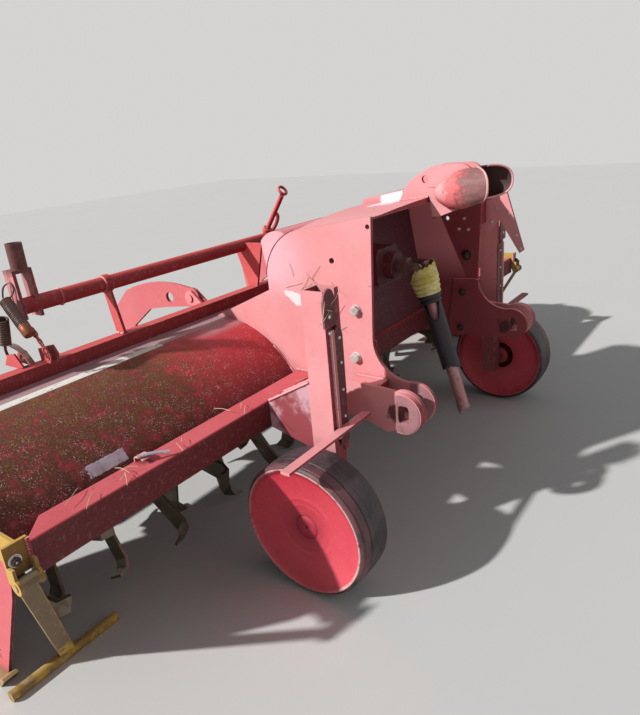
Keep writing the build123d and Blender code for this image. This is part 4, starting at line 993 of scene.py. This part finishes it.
# Face of the wheel sleeve: a worn tongue on top, a bar in the slot painted pale as a painted highlight of its
# lit edge, and a holed strip beside it
sleeveFace = {
    "y": -0.6035,
    "tongue": ((-0.664, 0.752), (-0.665, 0.822), (-0.658, 0.842), (-0.646, 0.853), (-0.632, 0.855),
               (-0.620, 0.848), (-0.612, 0.832), (-0.607, 0.800), (-0.603, 0.772), (-0.604, 0.752)),
    "bar": ((-0.640, 0.420), (-0.640, 0.742), (-0.628, 0.742), (-0.628, 0.420)),
    "strip": (
        (-0.624, 0.392), (-0.624, 0.726), (-0.606, 0.744), (-0.590, 0.736), (-0.584, 0.716), (-0.586, 0.392)
    ),
    "dots": (0.712, 0.640, 0.560, 0.478),
}


def facePlate(points, side, thick):
    outline = [(-side * x, sleeveFace["y"], z) for x, z in points]
    return plate(outline, (0, -1, 0), thick)


tongues, bars, dots = [], [], []
for side in sides.values():
    tongues.append(facePlate(sleeveFace["tongue"], side, 0.006))
    tongues.append(facePlate(sleeveFace["strip"], side, 0.004))
    bars.append(facePlate(sleeveFace["bar"], side, 0.009))
    for z in sleeveFace["dots"]:
        dots += bolt((side * 0.604, sleeveFace["y"] - 0.004, z), (0, -1, 0), boltSizes["dot"])
addPiece("sleeveTongues", tongues, "shadePaint", sharp=30.0)
# Painted highlight: the bar in the slot is painted pale
addPiece("sleeveBars", bars, "palePaint", sharp=30.0)
addPiece("sleeveDots", dots, "boltSteel", sharp=30.0)

# Worn rings round the lower hitch slots, with grease round them
eyeShape = {
    "slot": (0.0172, 0.0275),
    "slotCentre": (-0.741, 0.463),
    "centre": (-0.733, 0.463),
    "outer": 0.0595,
    "flatY": -0.7175,
    "points": 60,
    "thick": 0.0030,
}
eyeFaces = (middle("hitch_lug_left")[0][0] + middle("hitch_lug_left")[1][0] - 0.0002, 0.4108)
angle = fullTurn(eyeShape["points"])
squareCos, squareSin = (np.sign(f(angle)) * np.abs(f(angle)) ** 0.45 for f in (np.cos, np.sin))
rings = []
for side in sides.values():
    for faceX in eyeFaces:
        x = np.full(angle.shape, side * faceX)
        slotY = eyeShape["slotCentre"][0] + eyeShape["slot"][0] * squareCos
        slotZ = eyeShape["slotCentre"][1] + eyeShape["slot"][1] * squareSin
        outerY = np.minimum(eyeShape["centre"][0] + eyeShape["outer"] * np.cos(angle), eyeShape["flatY"])
        outerZ = eyeShape["centre"][1] + eyeShape["outer"] * np.sin(angle)
        hole = np.stack([x, slotY, slotZ], axis=-1)
        rings.append(plate(np.stack([x, outerY, outerZ], axis=-1), (side, 0, 0), eyeShape["thick"], hole))
addPiece("eyeRings", rings, "ringSteel", sharp=40.0)

# Doubler plate bolted inside each headstock plate
doubler = ((-0.494, 0.634), (-0.583, 0.640), (-0.600, 0.633), (-0.598, 0.498), (-0.575, 0.430), (-0.562, 0.408),
           (-0.513, 0.392), (-0.468, 0.395), (-0.472, 0.470), (-0.486, 0.560))
patches = [plate([(side * 0.399, y, z) for y, z in doubler], (-side, 0, 0), 0.006) for side in sides.values()]
addPiece("doublerPlates", patches, "towerPaint", sharp=30.0)

# Two bolts through each rotor blade and its flange, placed as the blades are: a quarter turn apart, staggered
bladeBolts = {
    "perSide": 9,
    "first": 0.1180,
    "last": 1.3710,
    "stagger": 25.0,
    "reaches": (0.082, 0.108),
    "plate": 0.006,
    "blade": 0.008,
}
patches = []
flangePlaces = np.linspace(bladeBolts["first"], bladeBolts["last"], bladeBolts["perSide"])
for side in sides.values():
    for number, flangeX in enumerate(flangePlaces):
        for turn in range(4):
            bend = 1 if turn % 2 else -1
            angle = math.radians(90 * turn + bladeBolts["stagger"] * number)
            for reach in bladeBolts["reaches"]:
                y = rotorAxis[0] - reach * math.sin(angle)
                z = rotorAxis[1] + reach * math.cos(angle)
                headX = side * flangeX + bend * (bladeBolts["plate"] + bladeBolts["blade"])
                nutX = side * flangeX - bend * bladeBolts["plate"]
                patches += bolt((headX, y, z), (bend, 0, 0), boltSizes["blade"])
                patches += bolt((nutX, y, z), (-bend, 0, 0), boltSizes["blade"])
addPiece("bladeBolts", patches, "darkBolt", body="rotor", sharp=25.0)
print("bolts made")

# Weld beads where plates meet: start and stop of each seam on the right, repeated on the left
seams = [
    ((-0.412, -0.3735, 0.500), (-0.412, -0.3735, 0.415)),
    ((-0.412, -0.372, 0.501), (-0.412, -0.292, 0.501)),
    ((-0.414, -0.534, 0.521), (-0.414, -0.640, 0.521)),
    ((-0.466, -0.534, 0.521), (-0.466, -0.640, 0.521)),
    ((-0.583, -0.3735, 0.415), (-0.583, -0.3735, 0.500)),
    ((-0.583, -0.530, 0.586), (-0.583, -0.374, 0.502)),
    ((-0.655, -0.530, 0.586), (-0.655, -0.374, 0.502)),
    ((-0.145, 0.080, 0.697), (-0.145, 0.118, 0.697)),
    ((-0.774, 0.084, 0.697), (-0.774, 0.118, 0.697)),
    ((-0.784, 0.084, 0.697), (-0.784, 0.118, 0.697)),
    ((-1.426, -0.3815, 0.456), (-1.426, -0.3815, 0.520)),
    ((-0.412, -0.286, 0.480), (-0.412, -0.200, 0.575)),
    ((-0.486, -0.715, 0.523), (-0.486, -0.715, 0.402)),
]
patches = []
for number, (start, stop) in enumerate(seams):
    for side in sides.values():
        flip = np.array((-side, 1, 1))
        patches.append(weld(np.array(start) * flip, np.array(stop) * flip, seed=number))
for side in sides.values():
    for edge in (0.030, 0.042):
        patches.append(weld((side * edge, -0.606, 1.011), (side * edge, -0.502, 1.001), 0.004, seed=31))
railRings = {
    "places": (-0.938, -0.790, -0.768, 0.768, 0.790), "railYZ": (0.134, 0.853), "radius": 0.0235, "wire": 0.0032
}
ringAngle = fullTurn(60)
railWaves = zip(railRings["railYZ"], (np.cos, np.sin))
ringY, ringZ = (place + railRings["radius"] * wave(ringAngle) for place, wave in railWaves)
for ringX in railRings["places"]:
    ring = np.stack([np.full(60, ringX), ringY, ringZ], axis=-1)
    patches.append(sweep(ring, roundSection(railRings["wire"], 7), closed=True, up=(1, 0, 0)))
addPiece("weldBeads", patches, "weldPaint", sharp=60.0)
cornerSeam = {"centre": (-0.3801, 0.7917), "radius": 0.1775, "from": 8.0, "to": 74.0}
turn = np.radians(np.linspace(cornerSeam["from"], cornerSeam["to"], 50))
centreY, centreZ = cornerSeam["centre"]
patches = []
for side in sides.values():
    seam = [
        np.full(50, side * 0.4113), centreY + cornerSeam["radius"] * np.cos(turn),
        centreZ + cornerSeam["radius"] * np.sin(turn)
    ]
    patches.append(sweep(np.stack(seam, axis=-1), roundSection(0.0016, 6), up=(1, 0, 0)))
addPiece("cornerSeams", patches, "shadePaint", sharp=60.0)

# Straws: thin bent stalks scattered with a fixed seed on the headstock side, the gusset, the beam and the hood
straws = {"seed": 21, "radius": 0.0008, "spots": (
    ((-0.4135, -0.335, 0.800), (0.0, 0.085, 0.040), 9),
    ((-0.4135, -0.500, 0.700), (0.0, 0.030, 0.110), 4),
    ((-0.560, -0.448, 0.5470), (0.080, 0.060, 0.0), 4),
    ((-1.000, -0.340, 0.5120), (0.330, 0.022, 0.0), 12),
    ((-0.640, -0.610, 0.820), (0.020, 0.0, 0.060), 4),
)}
random = np.random.default_rng(straws["seed"])
patches = []
for spot, spread, count in straws["spots"]:
    for _ in range(count):
        spread = np.array(spread)
        start = np.array(spot) + random.uniform(-1, 1, 3) * spread
        flat = (spread > 0) * random.uniform(-1, 1, 3)
        ahead = unit(flat + 1e-6) * random.uniform(0.025, 0.070)
        lift = (spread == 0) * np.array((-1.0, -1.0, 1.0)) * random.uniform(0.001, 0.006)
        sideways = np.cross(ahead, lift / np.linalg.norm(lift)) * random.uniform(-0.05, 0.05)
        stalk = smoothPath([start, start + 0.5 * ahead + sideways + lift, start + ahead + 0.3 * lift], 10)
        patches.append(sweep(stalk, roundSection(straws["radius"], 5), up=(0.31, 0.52, 0.79)))
addPiece("straws", patches, "dryStraw", sharp=60.0)
print("welds made")

# Springs, wire, chain and hooks that hang from the right end of the rail
springSet = {
    "coils": (
        ((-1.092, 0.140, 0.880), (-1.092, 0.074, 0.812)),
        ((-1.118, 0.128, 0.838), (-1.118, 0.150, 0.762)),
    ),
    "coilRadius": 0.0145,
    "wire": 0.0026,
    "pitch": 0.0054,
    "chain": ((-1.078, 0.060, 0.806), (-1.070, 0.066, 0.778), (-1.064, 0.056, 0.752), (-1.060, 0.052, 0.712)),
    "link": (0.0095, 0.0058, 0.0024),
}
patches, rusty = [], []
for start, stop in springSet["coils"]:
    turns = np.linalg.norm(np.subtract(stop, start)) / springSet["pitch"]
    patches.append(coil(start, stop, springSet["coilRadius"], springSet["wire"], turns))
addPiece("railSprings", patches, "springSteel", sharp=60.0)
wireLoop = smoothPath(
    [(-1.092, 0.136, 0.878), (-1.086, 0.160, 0.884), (-1.080, 0.156, 0.912), (-1.070, 0.140, 0.924),
     (-1.068, 0.126, 0.910), (-1.074, 0.134, 0.890), (-1.088, 0.146, 0.880)], 60
)
patches = [sweep(wireLoop, roundSection(0.0026, 7), up=(1, 0, 0.1))]
lowerHook = smoothPath(
    [(-1.118, 0.150, 0.764), (-1.118, 0.156, 0.750), (-1.112, 0.170, 0.742), (-1.106, 0.180, 0.726),
     (-1.102, 0.172, 0.708), (-1.100, 0.158, 0.704), (-1.098, 0.150, 0.716)], 50
)
patches.append(sweep(lowerHook, roundSection(0.0042, 8), up=(1, 0, 0.1)))
addPiece("springWires", patches, "springSteel", sharp=60.0)
capAxis = np.subtract(springSet["coils"][0][1], springSet["coils"][0][0])
cap = [
    (0, 0.030), (0.010, 0.030), (0.0150, 0.027), (0.0162, 0.022), (0.0162, -0.004), (0.0150, -0.006),
    (0, -0.006)
]
caps = [lathe(springSet["coils"][0][1], capAxis, cap, turns=28)]


# Chain link: a flat-sided loop, x = long * cos^0.8, y = short * sin, turned a quarter for every other link
def chainLinks(points, links):
    path = smoothPath(points, links + 1)
    longHalf, shortHalf, wire = springSet["link"]
    angle = fullTurn(22)
    patches = []
    for number, (start, stop) in enumerate(zip(path[:-1], path[1:])):
        axis, first, second = acrossAxes(stop - start)
        flat, normal = (first, second) if number % 2 else (second, first)
        bow = np.sign(np.cos(angle)) * np.abs(np.cos(angle)) ** 0.8
        loop = (start + stop) / 2 + np.outer(longHalf * bow, axis) + np.outer(shortHalf * np.sin(angle), flat)
        patches.append(sweep(loop, roundSection(wire, 7), closed=True, up=normal))
    return patches


rusty += chainLinks(springSet["chain"], 7)
strapPath = smoothPath(
    [(-1.096, 0.166, 0.752), (-1.094, 0.140, 0.746), (-1.090, 0.112, 0.728), (-1.088, 0.092, 0.700)], 24
)
patches = [sweep(strapPath, boxSection(0.020, 0.003), up=(0, 0.5, 1))]
addPiece("railStrap", patches, "bareSteel", sharp=30.0)
bracketPlates = {
    (-1.112, -1.080): ((0.170, 0.726), (0.133, 0.733), (0.098, 0.699), (0.120, 0.692), (0.196, 0.692)),
    (-1.050, -1.028): ((0.114, 0.732), (0.075, 0.741), (0.057, 0.717), (0.066, 0.694), (0.110, 0.694)),
}
for places, outline in bracketPlates.items():
    rusty += [plate([(x, y, z) for y, z in outline], (1, 0, 0), 0.006) for x in places]
addPiece("railChainAndBrackets", rusty, "railPaint", sharp=35.0)
addPiece("springCap", caps, "copperCap", sharp=35.0)
print("rail end dressed")

# Rod with a ring at its top, standing between the rail and the headstock, and a short one beside it
rodShape = {
    "foot": (0.006, 0.140, 0.880), "top": (0.0, 0.036, 1.020), "radius": 0.0095, "ring": 0.0175, "wire": 0.0055
}
rodLine = np.linspace(rodShape["foot"], rodShape["top"], 12)
patches = [sweep(rodLine, roundSection(rodShape["radius"], 12), up=(1, 0, 0))]
ringMiddle = np.array(rodShape["top"]) + (0.0, -0.006, 0.018)
angle = fullTurn(36)[:, None]
ring = ringMiddle + rodShape["ring"] * (
    np.cos(angle) * (0.25, 0.60, 0.76) + np.sin(angle) * (0.97, -0.16, -0.19)
)
patches.append(sweep(ring, roundSection(rodShape["wire"], 9), closed=True, up=(0.1, 0.8, -0.6)))
stub = smoothPath(
    [(0.05, 0.150, 0.872), (0.052, 0.126, 0.900), (0.050, 0.110, 0.930), (0.044, 0.112, 0.946)], 20
)
patches.append(sweep(stub, roundSection(0.008, 10), up=(1, 0, 0)))
collar = [(0, 0.012), (0.016, 0.012), (0.018, 0.010), (0.018, -0.010), (0.016, -0.012), (0, -0.012)]
patches.append(lathe((0.006, 0.137, 0.884), (0, -0.6, 0.8), collar, turns=24))
addPiece("railRod", patches, "railPaint", sharp=35.0)

# Blank plate, clamp and pin on the hood and beam
hoodShape = {"y": 0.030, "z": 0.290, "radius": 0.365}


# Sheet on the hood: across is x, and down is an angle about the hood's axis, a little above the paint
def hoodSheet(x, angle, lift):
    reach = hoodShape["radius"] + lift
    y, z = hoodShape["y"] + reach * np.sin(angle), hoodShape["z"] + reach * np.cos(angle)
    return np.stack(np.broadcast_arrays(x, y, z), axis=-1)


labelShape = {"x": (-1.199, -1.089), "angle": (-0.965, -0.872), "lift": 0.0016, "ragged": 0.0030}
u = np.linspace(0, 1, 60)[:, None]
v = np.linspace(0, 1, 16)[None, :]
xLow, xHigh = labelShape["x"]
endsIn = labelShape["ragged"] * (wander(v * 2, 8) * (1 - u) + wander(v * 2, 9) * u)
labelX = xLow + (xHigh - xLow) * u + endsIn
angleLow, angleHigh = labelShape["angle"]
edgesIn = 0.0035 * (wander(u * 3, 12) * (1 - v) + wander(u * 3, 13) * v)
labelAngle = angleLow + (angleHigh - angleLow) * v + edgesIn
addPiece(
    "blankLabel", [(hoodSheet(labelX, labelAngle, labelShape["lift"]), False, False)], "palePlate",
    wall=0.001
)
clampPath = smoothPath(
    [(-1.079, -0.300, 0.500), (-1.079, -0.302, 0.512), (-1.079, -0.318, 0.5155), (-1.079, -0.336, 0.512)], 20
)
patches = [sweep(clampPath, boxSection(0.030, 0.004), up=(0, 0.7, 0.7))]
addPiece("beamClamp", patches, "palePaint", sharp=30.0)
pinPath = smoothPath([(-1.098, -0.322, 0.520), (-1.070, -0.336, 0.521), (-1.028, -0.358, 0.5125)], 20)
addPiece("clampPin", [sweep(pinPath, roundSection(0.0045, 9))], "palePlate")

# Drive shaft cover: a ribbed yellow bell, torn open towards the back and on the right, with a dark collar below
tilt = math.radians(17.0)
hang = {"pin": np.array((0.0, -0.551, 0.770)), "down": np.array((0.0, -math.sin(tilt), -math.cos(tilt)))}
front = np.array((0.0, -math.cos(tilt), math.sin(tilt)))


# Points round the drive shaft: pin + down along it + radius * (cos a * front + sin a * right)
def roundShaft(angle, down, radius):
    ring = np.cos(angle)[..., None] * front + np.sin(angle)[..., None] * np.array((1.0, 0.0, 0.0))
    return hang["pin"] + down[..., None] * hang["down"] + radius * ring, True, False


bellShape = {
    "top": -0.016, "ring": 0.038, "bottom": 0.106, "wide": 0.0495, "narrow": 0.0385, "wall": 0.0028, "ribs": 4
}


# Bell: turned about the shaft, its radius stepping in over the ribs, its top edge a function of the angle
def bellPatch(rows=150, columns=46):
    look = bellShape
    angle = fullTurn(rows)[:, None]
    t = np.linspace(0, 1, columns)[None, :]
    # Low only at the back, where the gearbox neck comes in
    keptHigh = 1 / (1 + np.exp(-(np.cos(angle) + 0.38) * 9))
    torn = 0.011 * (1 - np.sin(angle)) + 0.0022 * np.sin(angle * 17) + 0.0016 * np.sin(angle * 41)
    top = look["ring"] + (look["top"] - look["ring"] + torn) * keptHigh
    down = top + (look["bottom"] - top) * t
    fall = np.clip((down - look["ring"]) / (look["bottom"] - look["ring"]), 0, 1)
    radius = look["wide"] + (look["narrow"] - look["wide"]) * fall**1.4
    radius = radius + 0.0016 * np.sin(fall * look["ribs"] * 2 * np.pi) * (fall > 0)
    radius = radius - 0.0007 * (1 + np.sin(angle * 3))  # three shallow dents
    return roundShaft(angle, down, radius[..., None])


addPiece(
    "bell", [bellPatch()], "guardYellow", ["shaft_bell"], body="drive_shaft",
    wall=bellShape["wall"]
)
collarProfile = [
    (0.0225, 0.096), (0.0395, 0.096), (0.0415, 0.099), (0.0415, 0.106), (0.0395, 0.110), (0.0350, 0.112),
    (0.0340, 0.116), (0.0370, 0.118), (0.0370, 0.125), (0.0330, 0.128), (0.0225, 0.129),
]
addPiece(
    "bellCollar", [lathe(hang["pin"], hang["down"], collarProfile, turns=56, loop=True)], "guardBlack",
    body="drive_shaft"
)
dustRing = [(0.026, 0.022), (0.042, 0.020), (0.0455, 0.024), (0.0455, 0.032), (0.026, 0.034)]
addPiece(
    "bellDustRing", [lathe(hang["pin"], hang["down"], dustRing, turns=48, loop=True)], "dustySteel",
    body="drive_shaft"
)
guardShape = {"start": 0.124, "stop": 0.368, "radius": 0.0305, "wall": 0.0022, "tear": 0.066}


# Guard tube: three-lobed section radius * (1 + 0.04 cos 3a), ragged at its lower end and split near the top
def guardPatch(rows=96, columns=60):
    look = guardShape
    angle = fullTurn(rows)[:, None]
    t = np.linspace(0, 1, columns)[None, :]
    split = look["tear"] * np.exp(-(((angle - 5.0) / 0.85) ** 4))
    ragged = 0.006 * np.sin(angle * 2 + 1) + 0.002 * np.sin(angle * 13)
    down = look["start"] + split + (look["stop"] + ragged - look["start"] - split) * t
    radius = look["radius"] * (1 + 0.04 * np.cos(3 * angle))
    return roundShaft(angle, down, radius[..., None])


addPiece(
    "guardTube", [guardPatch()], "guardBlack", ["shaft_guard"], body="drive_shaft",
    wall=guardShape["wall"]
)
tipShape = {
    "down": 0.526, "radius": 0.0212, "tongue": 0.017, "pin": 0.0035, "pinDown": 0.515, "pinBehind": 0.022
}
tipAngle = fullTurn(48)[:, None]
tipT = np.linspace(0, 1, 5)[None, :]
tipLong = tipShape["tongue"] * np.exp(-(((tipAngle - 3.9) / 0.7) ** 2)) + 0.002 * np.sin(tipAngle * 7)
tipDown = tipShape["down"] - 0.014 + (0.014 + tipLong) * tipT
tip = roundShaft(tipAngle, tipDown, tipShape["radius"])
addPiece("tubeTip", [tip], "tubeSteel", body="drive_shaft", wall=0.0015)
pinStart = hang["pin"] + tipShape["pinDown"] * hang["down"] - tipShape["pinBehind"] * front
pinPath = [pinStart, pinStart + 0.020 * hang["down"], pinStart + 0.036 * hang["down"] + 0.004 * front]
addPiece(
    "tubePin", [sweep(smoothPath(pinPath, 12), roundSection(tipShape["pin"], 8), up=(1, 0, 0))], "tubeSteel",
    body="drive_shaft"
)
print("drive shaft dressed")


# Studio: a pale floor, a soft high key from the sunny side, a wide fill, and a pale surround
studio = {"floorHalf": 14.0, "floorColour": (0.66, 0.65, 0.63, 1.0), "key": 3.8, "keyAngle": 0.03,
          "keyFrom": (-0.717, 0.416, 0.560), "fill": 0.22, "fillAngle": 0.9, "fillFrom": (0.35, -0.85, 0.5),
          "sky": (0.93, 0.96, 1.0, 1.0), "surround": (0.70, 0.69, 0.68, 1.0),
          "floorStain": (0.63, 0.62, 0.60, 1.0)}

floorSpan = np.array([-1.0, 1.0]) * studio["floorHalf"]
floorCorners = [(x, y, 0.0) for x, y in ((floorSpan[0], floorSpan[0]), (floorSpan[1], floorSpan[0]),
                                         (floorSpan[1], floorSpan[1]), (floorSpan[0], floorSpan[1]))]
floorMesh = bpy.data.meshes.new("floor")
floorMesh.from_pydata(floorCorners, [], [(0, 1, 2, 3)])
floor = bpy.data.objects.new("floor", floorMesh)
bpy.context.scene.collection.objects.link(floor)
floorMaterial, floorWhere = newFinish("paleFloor")
floorTone = over(noise(floorWhere, 1.5, 3.0), studio["floorColour"], studio["floorStain"])
closeFinish(floorMaterial, floorTone, 0.9, noise(floorWhere, 60.0), strength=0.02)
floorMesh.materials.append(floorMaterial)

world = bpy.data.worlds.new("studio")
bpy.context.scene.world = world
world.use_nodes = True
useTree(world.node_tree)
rays = put("LightPath").outputs
seen = calc(
    "MAXIMUM", rays["Is Camera Ray"], calc("MAXIMUM", rays["Is Glossy Ray"], rays["Is Transmission Ray"])
)
light = put("Background", {"Color": studio["sky"], "Strength": studio["fill"]})
pale = put("Background", {"Color": studio["surround"], "Strength": 0.95})
mixed = put("MixShader", {0: seen, 1: light.outputs[0], 2: pale.outputs[0]})
put("OutputWorld", {"Surface": mixed.outputs[0]})


def addSun(name, direction, strength, angle):
    lamp = bpy.data.lights.new(name, "SUN")
    lamp.energy = strength
    lamp.angle = angle
    lampObject = bpy.data.objects.new(name, lamp)
    z = np.array(direction) / np.linalg.norm(direction)
    x = np.cross((0.0, 0.0, 1.0), z)
    x /= np.linalg.norm(x)
    y = np.cross(z, x)
    toward = Matrix(np.array([x, y, z]).T.tolist())
    lampObject.matrix_world = toward.to_4x4()
    bpy.context.scene.collection.objects.link(lampObject)


addSun("key", studio["keyFrom"], studio["key"], studio["keyAngle"])
addSun("fill", studio["fillFrom"], studio["fill"], studio["fillAngle"])

# Camera where the photograph was taken from: its place, and the directions of its right, down and forward
cameraView = {
    "place": (-1.89064, -1.52030, 1.23353),
    "right": (0.57950031, -0.81054425, -0.08483753),
    "down": (-0.32576927, -0.13496522, -0.93576641),
    "forward": (0.74702996, 0.56991439, -0.3422628),
    "focus": 30.93,
}
cameraData = bpy.data.cameras.new("camera")
cameraData.lens = cameraView["focus"]
cameraData.sensor_width = 36.0
camera = bpy.data.objects.new("camera", cameraData)
axes = np.array([cameraView["right"], -np.array(cameraView["down"]), -np.array(cameraView["forward"])]).T
camera.matrix_world = Matrix.Translation(cameraView["place"]) @ Matrix(axes.tolist()).to_4x4()
bpy.context.scene.collection.objects.link(camera)
bpy.context.scene.camera = camera
bpy.context.scene.view_settings.view_transform = "Standard"
print("studio ready")

bpy.context.view_layer.update()
